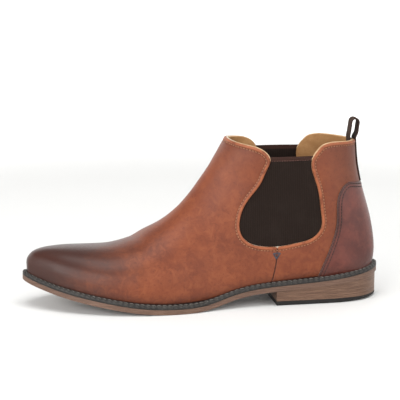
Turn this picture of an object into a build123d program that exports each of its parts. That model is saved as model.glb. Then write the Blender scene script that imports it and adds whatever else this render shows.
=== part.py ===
from build123d import *

import os
from math import cos, hypot, radians, sin

# A left chelsea boot in millimetres. The toe points along -X, the medial side is +Y, +Z is up, and
# the origin lies on the ground under the middle of the boot's bounding box.

# ---------------------------------------------------------------- driving dimensions
LENGTH = 305.0  # outsole, toe tip to back of heel
AXIS_Y = -0.7  # centre line of the heel and shaft
FOREPART_WIDTH = 100.5  # outsole, across the ball
WELT_THICK = 3.6
WELT_WIDTH = 11.0  # outer edge to inner edge
OUTSOLE_THICK = 4.2
TOP_PIECE_THICK = 3.6
LIFT_THICK = 2.8
LIFT_COUNT = 3
HEEL_BREAST_X = 58.6
HEEL_TAPER = 1.2  # the heel's edge stands in from the outsole's edge by this much
HEEL_BEVEL = 1.6  # bevel at the back of the top piece
HEEL_BEVEL_X = 116.0
NAIL_POINT_Z = 5.0
NAIL_DIA = 2.0
NAILS = [(72, -19), (72, 16), (96, -18.5), (96, 16.5), (120, -14), (120, 12.5), (134, AXIS_Y)]
INSOLE_THICK = 2.4
SOCK_THICK = 1.2
HEEL_PAD_THICK = 2.5
HEEL_PAD_X = 72.0
SHANK_WIDTH = 15.0
SHANK_THICK = 1.0
SHANK_LIFT = 1.2  # above the outsole
SHANK_FRONT_X = -25.0
SHANK_BACK_X = 100.0
GLUE = 0.1  # cement line between two glued layers

LEATHER = 1.4
BACKER = 1.1  # elastic, puff, counter and tapes, between leather and lining
LINING = 1.0
OVERLAY = 1.1  # heel foxing and back strap, on top of the quarters

GORE_TUCK = 7.0  # elastic hidden under the leather edge
STRAP_WIDTH = 13.0  # back strap and pull loop
LOOP_THICK = 1.3
LOOP_DEPTH = 7.6  # outside to outside
LOOP_HEIGHT = 18.4  # fold line to the top of the loop
LOOP_LEAN = 8.0  # degrees towards the back
LOOP_PIVOT = (129.0, 136.0)  # x, z of the line where the loop folds over the top line
LOOP_CLEAR = 5.2  # free loop starts this far above the fold line
TAB_RISE = 3.0  # sewn-down ends of the loop reach this far above the fold line
TAB_BOTTOM_Z = 116.0

BAR_TACK = (54.0, 64.0, 45.6, 47.6)  # low and high x, low and high z

STITCH_PITCH = 4.6
STITCH_LENGTH = 3.2
THREAD_DIA = 0.8
STITCH_INSET = 1.3  # welt stitching, in from the welt's edge
STITCH_ROOM = 0.15  # a stitch nearer than this to the upper is hidden under it and left out

# Layer faces, as offsets from the outside face of the vamp leather.
LEATHER_IN = -LEATHER
BACKER_OUT = LEATHER_IN - GLUE
BACKER_IN = BACKER_OUT - BACKER
LINING_OUT = BACKER_IN - GLUE
LINING_IN = LINING_OUT - LINING
CAVITY = LINING_IN - GLUE
OVERLAY_IN = GLUE
OVERLAY_OUT = OVERLAY_IN + OVERLAY

TIP_X = -LENGTH / 2
BACK_X = LENGTH / 2
REACH = 90.0  # half-depth of the cutting prisms, more than any part's width
CEILING = 200.0  # above every part
FLOOR = -30.0  # below every part
SIDE_VIEW = Plane.XZ.offset(-REACH)  # side-view outlines are drawn here and cut towards -Y

# ---------------------------------------------------------------- outlines of the sole
# Height of the outsole's underside along the boot: toe spring, tread at the ball, waist, heel seat.
SOLE_LINE = [
    (-158, 24.2), (-133, 15.8), (-111, 10.6), (-89, 6.5), (-70, 3.2), (-50, 0.8), (-32, 0.0),
    (-18, 0.0), (0, 1.6), (14, 5.2), (28, 8.7), (45, 11.2), (62, 12.6), (90, 14.4), (112, 16.2),
    (130, 18.4), (158, 22.4),
]
# Plan of the outsole, starting at the toe tip and going round by the lateral side.
LATERAL_PLAN = [
    (TIP_X, 6.3), (-148.5, -3.5), (-139, -13.5), (-123, -26.5), (-104, -37.5), (-80, -46.0),
    (-42, -50.2), (-14, -47.4), (8, -41.0), (32, -36.3), (62, -34.3), (96, -33.2), (122, -30.6),
    (139, -23.4), (149, -11.8),
]
MEDIAL_PLAN = [
    (BACK_X, AXIS_Y), (149, 10.4), (139, 22.0), (122, 29.2), (96, 31.6), (62, 30.0), (30, 30.2),
    (4, 35.0), (-24, 44.0), (-58, FOREPART_WIDTH / 2), (-88, 47.6), (-112, 41.8), (-131, 32.8),
    (-144, 22.2), (-150.5, 13.5),
]

# ---------------------------------------------------------------- pattern lines, seen from the side
TOP_LINE_FRONT = [(6, 146), (20.3, 139.9), (33, 136.8), (42, 134.4), (47.5, 131.2), (52, 124)]
TOP_LINE_BACK = [(88.4, 124.4), (92.5, 130.2), (97.5, 135.0), (104, 136.8), (118, 136.6), (140, 135.6)]
GORE_EDGE = [
    (52, 124), (49.6, 117), (44.5, 104.6), (33.4, 89), (27.2, 74), (27.9, 62.7), (34.7, 54.8), (44.9, 51.4),
    (58.6, 50.5), (77.4, 53.2), (91.1, 57.9), (97, 65.6), (96.8, 77.4), (92.2, 103.1), (88.4, 124.4),
]
GORE_TOP_Z = 127.0
SIDE_SEAM = [(59, 62), (58.8, 50), (57.8, 35.7), (54.8, 21.2), (52, 5)]
FOXING_FRONT = [
    (90, 5), (95.3, 24.6), (101.1, 39.1), (107, 54.5), (110.2, 69.9), (110.7, 88.8), (114.6, 97.8), (122, 102.6),
]
FOXING_TOP = [(122, 102.6), (132, 100.6), (148, 97)]
TOE_PUFF_X = -100.0
COUNTER_FRONT = [(78, 5), (84, 30), (96, 50), (106, 64), (118, 72), (150, 76)]


def along(stations, u):
    """Value at u of the smooth curve through (u, value) stations (cubic Hermite)."""
    last = len(stations) - 1
    if u <= stations[0][0]:
        return stations[0][1]
    if u >= stations[last][0]:
        return stations[last][1]
    i = max(k for k in range(last) if stations[k][0] <= u)

    def slope(k):
        low, high = max(k - 1, 0), min(k + 1, last)
        return (stations[high][1] - stations[low][1]) / (stations[high][0] - stations[low][0])

    (u0, v0), (u1, v1) = stations[i], stations[i + 1]
    span = u1 - u0
    t = (u - u0) / span
    from_start = (1 + 2 * t) * (1 - t) ** 2 * v0 + t * (1 - t) ** 2 * span * slope(i)
    from_end = t * t * (3 - 2 * t) * v1 + t * t * (t - 1) * span * slope(i + 1)
    return from_start + from_end


def feather_z(x):
    """Height of the line where the upper meets the welt."""
    return along(SOLE_LINE, x) + OUTSOLE_THICK + WELT_THICK


# ---------------------------------------------------------------- the foot form
# The upper is wrapped on a form made of cross-sections. In front of the pivot they are upright and
# shrink to the toe tip; behind it they fan out about the pivot, from upright to level at the ankle.
# Below the welt the form carries straight on down, so that the walls meet the welt squarely.
PIVOT = (-60.0, 150.0)
TOE_REACH = 89.2  # pivot plane to toe tip
TOE_TIP_Y = 6.0

# Toe stations by angle: 0 at the pivot plane, 90 at the toe tip.
TOE_LATERAL = [(0, 45.0), (20, 39.6), (40, 28.6), (60, 15.8), (75, 8.6), (84, 5.0), (90, 0.0)]
TOE_MEDIAL = [(0, 46.6), (20, 43.4), (40, 34.0), (60, 19.4), (75, 9.4), (84, 5.4), (90, 0.0)]
TOE_CREST = [
    (0, 55.8), (6.6, 52.6), (13.2, 50.6), (24.6, 50.0), (42.8, 50.0), (56, 48.9), (64.6, 47.2), (71, 45.3),
    (78.5, 42.0), (84, 39.6), (90, 36.0),
]
TOE_BELLY = [(0, 19.0), (20, 23.5), (40, 28.0), (60, 32.0), (90, 36.0)]  # height of the widest line
TOE_DEPTH = [(0, 21.1), (40, 20.5), (60, 18.0), (75, 13.0), (84, 7.0), (90, 0.0)]  # from there down

# Fan stations by angle: 0 upright at the pivot plane, 90 level. Distances are from the pivot.
FAN_CREST = [
    (0, 94.2), (6.6, 88.4), (16.5, 83.9), (28.3, 79.1), (39.5, 75.3), (52.5, 73.3), (66.7, 74.5), (76.8, 77.2),
    (82.8, 80.7), (90, 86.0),
]
FAN_BACK = [
    (0, 152.1), (11.5, 157.4), (22, 163.6), (33, 172.7), (41.5, 189.1), (48.3, 209.5), (53, 227.0), (56.6, 243.0),
    (59.2, 240.2), (61.6, 236.7), (63.5, 232.5), (66.4, 225.0), (68.9, 218.3), (71.7, 211.0), (74.7, 204.1),
    (79.1, 196.9), (82.8, 193.4), (90, 189.5),
]
FAN_BELLY = [(0, 131.0), (11.5, 135.0), (22, 137.0), (33, 140.0), (45, 144.0), (60, 148.0), (75, 127.0), (90, 118.0)]
FAN_LATERAL = [(0, 45.0), (11.5, 44.6), (22, 39.8), (33, 34.4), (45, 31.8), (60, 31.2), (75, 33.2), (90, 34.0)]
FAN_MEDIAL = [(0, 46.6), (11.5, 43.0), (22, 35.8), (33, 30.6), (45, 29.6), (60, 30.4), (75, 33.0), (90, 34.0)]
# Fullness of the corners (2 is an ellipse), towards the crest and towards the sole or heel.
CREST_FULLNESS = [(-90, 2.3), (0, 2.2), (30, 2.0), (60, 2.1), (90, 2.2)]
BACK_FULLNESS = [(-90, 3.0), (-40, 3.6), (0, 3.8), (30, 3.8), (50, 3.8), (56, 3.0), (60, 2.5), (70, 2.3), (90, 2.1)]

TOE_ANGLES = [87, 84, 80, 75, 69, 61, 52, 42, 31, 20, 10]
FAN_ANGLES = [0, 8, 16, 24, 32, 40, 46, 51, 55, 58, 61, 64, 67.5, 71.5, 76, 81, 86, 90]
HALF_POINTS = 16


def half_section(width, crest, depth, crest_n, depth_n):
    """Evenly spaced points of half a section, from its underside round to its crest, as (side, up)."""
    fine = []
    for turn in range(-90, 91):
        c, s = cos(radians(turn)) if abs(turn) < 90 else 0.0, abs(sin(radians(turn)))
        n, rise = (crest_n, crest) if turn > 0 else (depth_n, -depth)
        fine.append((width * c ** (2 / n), rise * s ** (2 / n)))
    lengths = [0.0]
    for (side_a, up_a), (side_b, up_b) in zip(fine, fine[1:]):
        lengths.append(lengths[-1] + hypot(side_b - side_a, up_b - up_a))
    points = []
    for k in range(HALF_POINTS + 1):
        target = lengths[-1] * k / HALF_POINTS
        i = min(max(j for j in range(len(lengths)) if lengths[j] <= target + 1e-9), len(fine) - 2)
        t = (target - lengths[i]) / (lengths[i + 1] - lengths[i])
        points.append(tuple(a + t * (b - a) for a, b in zip(fine[i], fine[i + 1])))
    return points


def section_face(plane, lateral, medial):
    """A closed section on a plane whose x is towards medial and y towards the crest."""
    around = [(side, up) for side, up in medial[::-1]] + [(-side, up) for side, up in lateral[1:]]
    evenly = [k / (len(around) - 1) for k in range(len(around))]
    leaving = ((around[1][0] - around[0][0]) * (len(around) - 1), 0)
    arriving = ((around[-1][0] - around[-2][0]) * (len(around) - 1), 0)
    with BuildSketch(plane) as section:
        with BuildLine():
            add(Edge.make_spline(around, [leaving, arriving], parameters=evenly, scale=False))
        make_face()
    return section.sketch.face()


def toe_section(angle, grow):
    """An upright section in front of the pivot, grown outwards by grow."""
    share = sin(radians(angle))
    lateral = along(TOE_LATERAL, angle) * (1 + grow / along(TOE_LATERAL, 0))
    medial = along(TOE_MEDIAL, angle) * (1 + grow / along(TOE_MEDIAL, 0))
    belly = along(TOE_BELLY, angle)
    full_rise = along(TOE_CREST, 0) - along(TOE_BELLY, 0)
    crest = (along(TOE_CREST, angle) - belly) * (1 + grow / full_rise)
    fullness = along(CREST_FULLNESS, -angle), along(BACK_FULLNESS, -angle)
    plane = Plane(
        origin=(PIVOT[0] - (TOE_REACH + grow) * share, AXIS_Y + (TOE_TIP_Y - AXIS_Y) * share**2, belly),
        x_dir=(0, 1, 0),
        z_dir=(1, 0, 0),
    )
    shape = crest, along(TOE_DEPTH, angle), *fullness
    return section_face(plane, half_section(lateral, *shape), half_section(medial, *shape))


def fan_section(angle, grow):
    """A section through the pivot, tilted by angle from upright, grown outwards by grow."""
    belly = along(FAN_BELLY, angle)
    crest = belly - along(FAN_CREST, angle) + grow
    depth = along(FAN_BACK, angle) - belly + grow * min(max((angle - 40) / 15, 0), 1)
    fullness = along(CREST_FULLNESS, angle), along(BACK_FULLNESS, angle)
    plane = Plane(
        origin=(PIVOT[0] + belly * sin(radians(angle)), AXIS_Y, PIVOT[1] - belly * cos(radians(angle))),
        x_dir=(0, 1, 0),
        z_dir=(cos(radians(angle)), 0, sin(radians(angle))),
    )
    shape = crest, depth, *fullness
    lateral = half_section(along(FAN_LATERAL, angle) + grow, *shape)
    medial = half_section(along(FAN_MEDIAL, angle) + grow, *shape)
    return section_face(plane, lateral, medial)


def foot_form(grow):
    """The solid foot form, grown outwards by grow from the outside of the vamp leather."""
    sections = [toe_section(a, grow) for a in TOE_ANGLES] + [fan_section(a, grow) for a in FAN_ANGLES]
    with BuildPart() as form:
        loft(sections)
    return form.part


def toe_form(grow):
    """The front of the foot form, as far back as its third fan section."""
    sections = [toe_section(a, grow) for a in TOE_ANGLES] + [fan_section(a, grow) for a in FAN_ANGLES[:3]]
    with BuildPart() as form:
        loft(sections)
    return form.part


# ---------------------------------------------------------------- cutting shapes
def moved_out(points, distance, closed=False):
    """Points shifted sideways, to the right of their direction of travel."""
    moved = []
    last = len(points) - 1
    for i, (u, v) in enumerate(points):
        before = points[i - 1] if i > 0 or closed else points[0]
        after = points[(i + 1) % len(points)] if i < last or closed else points[last]
        run, rise = after[0] - before[0], after[1] - before[1]
        moved.append((u + distance * rise / hypot(run, rise), v - distance * run / hypot(run, rise)))
    return moved


def plan_face(inset=0.0):
    """Plan of the sole, its edge moved in by inset."""
    outline = moved_out(LATERAL_PLAN + MEDIAL_PLAN, -inset, closed=True)
    with BuildSketch(Plane.XY.offset(FLOOR)) as plan:
        with BuildLine():
            Spline(*outline, periodic=True)
        make_face()
    return plan.sketch


def side_face(curve, *corners):
    """Side view bounded by a smooth curve and by straight lines through the corners."""
    with BuildSketch(SIDE_VIEW) as face:
        with BuildLine():
            edge = Spline(*curve)
            Polyline(edge @ 1, *corners, edge @ 0)
        make_face()
    return face.sketch


def side_box(low_x, high_x, low_z, high_z):
    """Rectangle in side view."""
    with BuildSketch(SIDE_VIEW) as box:
        with Locations(((low_x + high_x) / 2, (low_z + high_z) / 2)):
            Rectangle(high_x - low_x, high_z - low_z)
    return box.sketch


def sole_band(low, high):
    """Side view of a layer between two heights above the sole line."""
    with BuildSketch(SIDE_VIEW) as band:
        with BuildLine():
            under = Spline(*[(x, z + low) for x, z in SOLE_LINE])
            over = Spline(*[(x, z + high) for x, z in SOLE_LINE])
            Line(under @ 0, over @ 0)
            Line(under @ 1, over @ 1)
        make_face()
    return band.sketch


def side_cut(face, mode=Mode.SUBTRACT, low_y=-REACH, high_y=REACH):
    """Cut the part in progress across with a side-view face, or keep only what is in it."""
    extrude(face.moved(Location((0, high_y - REACH, 0))), high_y - low_y, mode=mode, clean=False)


FAR_X = 2 * BACK_X
TUCK_LINE = moved_out(GORE_EDGE, -GORE_TUCK)
TAB_TOP_Z = LOOP_PIVOT[1] + TAB_RISE
SIDES = {"lateral": (-REACH, AXIS_Y - GLUE / 2), "medial": (AXIS_Y + GLUE / 2, REACH)}
STRAP_EDGES = (AXIS_Y - STRAP_WIDTH / 2, AXIS_Y + STRAP_WIDTH / 2)

over_welt = sole_band(OUTSOLE_THICK + WELT_THICK, CEILING)
top_opening = side_face(TOP_LINE_FRONT + GORE_EDGE[1:] + TOP_LINE_BACK[1:], (140, CEILING), (6, CEILING))
tuck_opening = side_face(TUCK_LINE, (TUCK_LINE[-1][0], CEILING), (TUCK_LINE[0][0], CEILING))
front_of_seam = side_face(SIDE_SEAM, (52, FLOOR), (-FAR_X, FLOOR), (-FAR_X, CEILING), (59, CEILING))
foxing_region = side_face(FOXING_FRONT + FOXING_TOP[1:], (FAR_X, 97), (FAR_X, FLOOR), (90, FLOOR))
counter_region = side_face(COUNTER_FRONT, (FAR_X, 76), (FAR_X, FLOOR), (78, FLOOR))
puff_region = side_box(-FAR_X, TOE_PUFF_X, FLOOR, CEILING)


def pattern(*regions, without=()):
    """Side view of an upper piece: above the welt, in every region, and in none of without."""
    with BuildSketch(SIDE_VIEW) as outline:
        add(over_welt)
        for region in regions:
            add(region, mode=Mode.INTERSECT)
        for region in without:
            add(region, mode=Mode.SUBTRACT)
    return outline.sketch


def upper_piece(layer, outline, low_y=-REACH, high_y=REACH):
    """The piece of a layer that lies in a side-view outline, between two Y positions."""
    outside, inside = layer
    with BuildPart() as piece:
        add(outside)
        side_cut(outline, Mode.INTERSECT, low_y, high_y)
        add(inside, mode=Mode.SUBTRACT, clean=False)
    return piece.part.fix()


# ---------------------------------------------------------------- upper
# Each layer is a pair of forms, one at its outside face and one at its inside face.
leather_layer = foot_form(0), foot_form(LEATHER_IN)
backer_layer = foot_form(BACKER_OUT), foot_form(BACKER_IN)
puff_layer = toe_form(BACKER_OUT), toe_form(BACKER_IN)
lining_layer = foot_form(LINING_OUT), foot_form(LINING_IN)
overlay_layer = foot_form(OVERLAY_OUT), foot_form(OVERLAY_IN)
tab_layer = foot_form(CAVITY), foot_form(CAVITY - LOOP_THICK)

front_pattern = pattern(front_of_seam, without=[top_opening])
back_pattern = pattern(without=[front_of_seam, top_opening])
gore_pattern = pattern(tuck_opening, without=[side_box(-FAR_X, FAR_X, GORE_TOP_Z, 3 * CEILING)])
puff_pattern = pattern(side_box(-FAR_X, TOE_PUFF_X - GLUE, FLOOR, CEILING))
counter_pattern = pattern(counter_region, without=[tuck_opening])
interlining_front = pattern(front_of_seam, without=[top_opening, tuck_opening, puff_region])
interlining_back = pattern(without=[front_of_seam, top_opening, tuck_opening, counter_region])
strap_pattern = pattern(side_box(100, FAR_X, FLOOR, TAB_TOP_Z), without=[foxing_region])

pieces = {
    "vamp": upper_piece(leather_layer, front_pattern),
    "vamp_lining": upper_piece(lining_layer, front_pattern),
    "quarter_lining": upper_piece(lining_layer, back_pattern),
    "toe_puff": upper_piece(puff_layer, puff_pattern),
    "vamp_interlining": upper_piece(backer_layer, interlining_front),
    "quarter_interlining": upper_piece(backer_layer, interlining_back),
    "heel_counter": upper_piece(backer_layer, counter_pattern),
    "heel_foxing": upper_piece(overlay_layer, pattern(foxing_region)),
    "back_strap": upper_piece(overlay_layer, strap_pattern, *STRAP_EDGES),
    "loop_tab": upper_piece(tab_layer, side_box(100, FAR_X, TAB_BOTTOM_Z, TAB_TOP_Z), *STRAP_EDGES),
}
for side, edges in SIDES.items():
    pieces[f"quarter_{side}"] = upper_piece(leather_layer, back_pattern, *edges)
    pieces[f"gore_{side}"] = upper_piece(backer_layer, gore_pattern, *edges)
    pieces[f"bar_tack_{side}"] = upper_piece(overlay_layer, side_box(*BAR_TACK), *edges)

with BuildPart() as pull_loop:
    with BuildSketch(Plane.XZ.offset(-AXIS_Y)) as loop_side:
        leg = LOOP_HEIGHT - LOOP_CLEAR - LOOP_DEPTH / 2
        for depth, mode in ((LOOP_DEPTH, Mode.ADD), (LOOP_DEPTH - 2 * LOOP_THICK, Mode.SUBTRACT)):
            with Locations((0, LOOP_CLEAR + leg / 2)):
                Rectangle(depth, leg, mode=mode)
            with Locations((0, LOOP_CLEAR + leg)):
                Circle(depth / 2, mode=mode)
    extrude(loop_side.sketch, STRAP_WIDTH / 2, both=True)
leaned_loop = pull_loop.part.rotate(Axis.Y, LOOP_LEAN)
pieces["pull_loop"] = leaned_loop.moved(Location((LOOP_PIVOT[0], 0, LOOP_PIVOT[1])))

# ---------------------------------------------------------------- bottom
def heel_nails(radius):
    """The heel's nails, from the lowest lift up to the top of the insole."""
    with BuildPart() as nails:
        for x, y in NAILS:
            top = feather_z(x) + INSOLE_THICK
            with Locations((x, y, (top + NAIL_POINT_Z) / 2)):
                Cylinder(radius, top - NAIL_POINT_Z)
    return nails.part


nail_holes = heel_nails(NAIL_DIA / 2)

with BuildPart() as outsole:
    extrude(plan_face(), CEILING)
    side_cut(sole_band(0, OUTSOLE_THICK), Mode.INTERSECT)
    add(nail_holes, mode=Mode.SUBTRACT)

with BuildPart() as welt:
    extrude(plan_face(), CEILING)
    extrude(plan_face(WELT_WIDTH), CEILING, mode=Mode.SUBTRACT)
    side_cut(sole_band(OUTSOLE_THICK + GLUE, OUTSOLE_THICK + WELT_THICK - GLUE), Mode.INTERSECT)

with BuildPart() as shank:
    with Locations(((SHANK_FRONT_X + SHANK_BACK_X) / 2, AXIS_Y, 0)):
        Box(SHANK_BACK_X - SHANK_FRONT_X, SHANK_WIDTH, CEILING)
    side_cut(sole_band(OUTSOLE_THICK + SHANK_LIFT, OUTSOLE_THICK + SHANK_LIFT + SHANK_THICK), Mode.INTERSECT)

with BuildPart() as bottom_filler:
    extrude(plan_face(WELT_WIDTH + GLUE), CEILING)
    side_cut(sole_band(OUTSOLE_THICK + GLUE, OUTSOLE_THICK + WELT_THICK - GLUE), Mode.INTERSECT)
    add(shank.part, mode=Mode.SUBTRACT)
    add(nail_holes, mode=Mode.SUBTRACT)

INSOLE_TOP = OUTSOLE_THICK + WELT_THICK + INSOLE_THICK
SOCK_TOP = INSOLE_TOP + SOCK_THICK
with BuildPart() as insole_board:
    add(foot_form(CAVITY))
    side_cut(sole_band(OUTSOLE_THICK + WELT_THICK, INSOLE_TOP), Mode.INTERSECT)
    add(nail_holes, mode=Mode.SUBTRACT)

with BuildPart() as sock_liner:
    add(foot_form(CAVITY))
    side_cut(sole_band(INSOLE_TOP + GLUE, SOCK_TOP), Mode.INTERSECT)

with BuildPart() as heel_pad:
    add(foot_form(CAVITY - 1.5))
    side_cut(sole_band(SOCK_TOP + GLUE, SOCK_TOP + HEEL_PAD_THICK), Mode.INTERSECT)
    side_cut(side_box(HEEL_PAD_X, FAR_X, FLOOR, CEILING), Mode.INTERSECT)

with BuildPart() as heel_top_piece:
    extrude(plan_face(HEEL_TAPER), CEILING)
    with BuildSketch(SIDE_VIEW) as top_piece_side:
        with BuildLine():
            Polyline(
                (HEEL_BREAST_X, 0), (HEEL_BEVEL_X, 0), (FAR_X / 2, HEEL_BEVEL), (FAR_X / 2, TOP_PIECE_THICK - GLUE),
                (HEEL_BREAST_X, TOP_PIECE_THICK - GLUE), close=True,
            )
        make_face()
    side_cut(top_piece_side.sketch, Mode.INTERSECT)

heel_lifts = []
for lift in range(LIFT_COUNT):
    base_z = TOP_PIECE_THICK + lift * LIFT_THICK
    with BuildPart() as heel_lift:
        extrude(plan_face(HEEL_TAPER), CEILING)
        side_cut(side_box(HEEL_BREAST_X, FAR_X, base_z, base_z + LIFT_THICK - GLUE), Mode.INTERSECT)
        add(nail_holes, mode=Mode.SUBTRACT)
    heel_lifts.append(heel_lift.part)

with BuildPart() as heel_wedge:
    extrude(plan_face(HEEL_TAPER), CEILING)
    side_cut(side_box(HEEL_BREAST_X, FAR_X, TOP_PIECE_THICK + LIFT_COUNT * LIFT_THICK, CEILING), Mode.INTERSECT)
    side_cut(sole_band(FLOOR - CEILING, -GLUE), Mode.INTERSECT)
    add(nail_holes, mode=Mode.SUBTRACT)

stitch_path = plan_face(STITCH_INSET).face().outer_wire()
stitch_count = round(stitch_path.length / STITCH_PITCH)
stitch_places = []
for k in range(stitch_count):
    ahead = stitch_path.tangent_at(k / stitch_count)
    spot = stitch_path.position_at(k / stitch_count)
    slope = (feather_z(spot.X + 1) - feather_z(spot.X - 1)) / 2
    origin = Vector(spot.X, spot.Y, feather_z(spot.X) + THREAD_DIA / 2)
    run = Vector(ahead.X, ahead.Y, ahead.X * slope).normalized() * STITCH_LENGTH / 2
    reach = Edge.make_line(origin - run, origin + run)
    room = min(reach.distance_to(pieces[name]) for name in ("vamp", "heel_foxing")) - THREAD_DIA / 2
    if room > STITCH_ROOM:
        stitch_places.append(Plane(origin=origin, z_dir=run))
with BuildPart() as welt_stitching:
    with Locations(*stitch_places):
        Cylinder(THREAD_DIA / 2, STITCH_LENGTH)

# ---------------------------------------------------------------- export
pieces |= {
    "insole_board": insole_board.part,
    "sock_liner": sock_liner.part,
    "heel_pad": heel_pad.part,
    "shank": shank.part,
    "bottom_filler": bottom_filler.part,
    "welt": welt.part,
    "welt_stitching": welt_stitching.part,
    "outsole": outsole.part,
    "heel_wedge": heel_wedge.part,
    "heel_top_piece": heel_top_piece.part,
    "heel_nails": nail_holes,
}
for number, lift_part in enumerate(heel_lifts, start=1):
    pieces[f"heel_lift_{number}"] = lift_part

os.makedirs("parts", exist_ok=True)
for name, part in pieces.items():
    part.label = name
    export_step(part, f"parts/{name}.step")
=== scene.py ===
"""The looks of a left chelsea boot: burnished calf upper, elastic gores, stitched welt and stacked heel."""
import math

import bpy
import numpy as np
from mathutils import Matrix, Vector
from mathutils.bvhtree import BVHTree


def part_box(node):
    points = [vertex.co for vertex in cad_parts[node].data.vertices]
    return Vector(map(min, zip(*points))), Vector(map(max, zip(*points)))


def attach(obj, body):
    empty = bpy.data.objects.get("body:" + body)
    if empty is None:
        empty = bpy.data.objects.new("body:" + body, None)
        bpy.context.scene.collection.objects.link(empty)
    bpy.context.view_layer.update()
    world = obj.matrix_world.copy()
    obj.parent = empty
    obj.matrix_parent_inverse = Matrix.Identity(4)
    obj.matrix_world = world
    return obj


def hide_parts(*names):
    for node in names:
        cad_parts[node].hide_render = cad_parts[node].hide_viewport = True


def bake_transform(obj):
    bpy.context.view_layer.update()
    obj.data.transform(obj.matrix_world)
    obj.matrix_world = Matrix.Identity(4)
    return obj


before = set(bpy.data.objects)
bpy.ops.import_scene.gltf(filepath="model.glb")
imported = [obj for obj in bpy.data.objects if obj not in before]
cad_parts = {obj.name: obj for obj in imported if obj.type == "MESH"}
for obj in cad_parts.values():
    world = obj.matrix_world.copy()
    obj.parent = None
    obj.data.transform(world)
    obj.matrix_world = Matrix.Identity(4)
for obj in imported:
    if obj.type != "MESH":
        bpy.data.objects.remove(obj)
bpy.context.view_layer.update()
MM = 0.001  # one millimetre, in metres
SIDES = {"lateral": -1, "medial": 1}  # which way each side lies along Y

# ---- the foot form, in mm, as the CAD makes it
AXIS_Y = -0.7
PIVOT_X, PIVOT_Z = -60.0, 150.0
TOE_REACH = 89.2
TOE_TIP_Y = 6.0
TOE_LATERAL = [(0, 45.0), (20, 39.6), (40, 28.6), (60, 15.8), (75, 8.6), (84, 5.0), (90, 0.0)]
TOE_MEDIAL = [(0, 46.6), (20, 43.4), (40, 34.0), (60, 19.4), (75, 9.4), (84, 5.4), (90, 0.0)]
TOE_CREST = [
    (0, 55.8), (6.6, 52.6), (13.2, 50.6), (24.6, 50.0), (42.8, 50.0), (56, 48.9), (64.6, 47.2), (71, 45.3),
    (78.5, 42.0), (84, 39.6), (90, 36.0),
]
TOE_BELLY = [(0, 19.0), (20, 23.5), (40, 28.0), (60, 32.0), (90, 36.0)]
TOE_DEPTH = [(0, 21.1), (40, 20.5), (60, 18.0), (75, 13.0), (84, 7.0), (90, 0.0)]
FAN_CREST = [
    (0, 94.2), (6.6, 88.4), (16.5, 83.9), (28.3, 79.1), (39.5, 75.3), (52.5, 73.3), (66.7, 74.5),
    (76.8, 77.2), (82.8, 80.7), (90, 86.0),
]
FAN_BACK = [
    (0, 152.1), (11.5, 157.4), (22, 163.6), (33, 172.7), (41.5, 189.1), (48.3, 209.5), (53, 227.0),
    (56.6, 243.0), (59.2, 240.2), (61.6, 236.7), (63.5, 232.5), (66.4, 225.0), (68.9, 218.3), (71.7, 211.0),
    (74.7, 204.1), (79.1, 196.9), (82.8, 193.4), (90, 189.5),
]
FAN_BELLY = [
    (0, 131.0), (11.5, 135.0), (22, 137.0), (33, 140.0), (45, 144.0), (60, 148.0), (75, 127.0),
    (90, 118.0),
]
FAN_LATERAL = [
    (0, 45.0), (11.5, 44.6), (22, 39.8), (33, 34.4), (45, 31.8), (60, 31.2), (75, 33.2), (90, 34.0),
]
FAN_MEDIAL = [
    (0, 46.6), (11.5, 43.0), (22, 35.8), (33, 30.6), (45, 29.6), (60, 30.4), (75, 33.0), (90, 34.0),
]
CREST_FULLNESS = [(-90, 2.3), (0, 2.2), (30, 2.0), (60, 2.1), (90, 2.2)]
BACK_FULLNESS = [
    (-90, 3.0), (-40, 3.6), (0, 3.8), (30, 3.8), (50, 3.8), (56, 3.0), (60, 2.5), (70, 2.3), (90, 2.1),
]

SOLE_LINE = [
    (-158, 24.2), (-133, 15.8), (-111, 10.6), (-89, 6.5), (-70, 3.2), (-50, 0.8), (-32, 0.0),
    (-18, 0.0), (0, 1.6), (14, 5.2), (28, 8.7), (45, 11.2), (62, 12.6), (90, 14.4), (112, 16.2),
    (130, 18.4), (158, 22.4),
]
SOLE_PLAN = [
    (-152.5, 6.3), (-148.5, -3.5), (-139, -13.5), (-123, -26.5), (-104, -37.5), (-80, -46.0),
    (-42, -50.2), (-14, -47.4), (8, -41.0), (32, -36.3), (62, -34.3), (96, -33.2), (122, -30.6),
    (139, -23.4), (149, -11.8), (152.5, AXIS_Y), (149, 10.4), (139, 22.0), (122, 29.2), (96, 31.6),
    (62, 30.0), (30, 30.2), (4, 35.0), (-24, 44.0), (-58, 50.25), (-88, 47.6), (-112, 41.8),
    (-131, 32.8), (-144, 22.2), (-150.5, 13.5),
]
OUTSOLE_THICK = 4.2
WELT_THICK = 3.6
INSOLE_THICK = 2.4
SOCK_THICK = 1.2
HEEL_PAD_THICK = 2.5

# Pattern lines in side view, x and z.
TOP_LINE_FRONT = [(6, 146), (20.3, 139.9), (33, 136.8), (42, 134.4), (47.5, 131.2), (52, 124)]
TOP_LINE_BACK = [(88.4, 124.4), (92.5, 130.2), (97.5, 135.0), (104, 136.8), (118, 136.6), (140, 135.6)]
GORE_EDGE = [
    (52, 124), (49.6, 117), (44.5, 104.6), (33.4, 89), (27.2, 74), (27.9, 62.7), (34.7, 54.8), (44.9, 51.4),
    (58.6, 50.5), (77.4, 53.2), (91.1, 57.9), (97, 65.6), (96.8, 77.4), (92.2, 103.1), (88.4, 124.4),
]
GORE_TOP_Z = 127.0
GORE_TUCK = 7.0
SIDE_SEAM = [(59, 62), (58.8, 50), (57.8, 35.7), (54.8, 21.2), (52, 5)]
FOXING_FRONT = [
    (90, 5), (95.3, 24.6), (101.1, 39.1), (107, 54.5), (110.2, 69.9), (110.7, 88.8), (114.6, 97.8),
    (122, 102.6),
]
FOXING_TOP = [(122, 102.6), (132, 100.6), (148, 97)]

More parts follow.
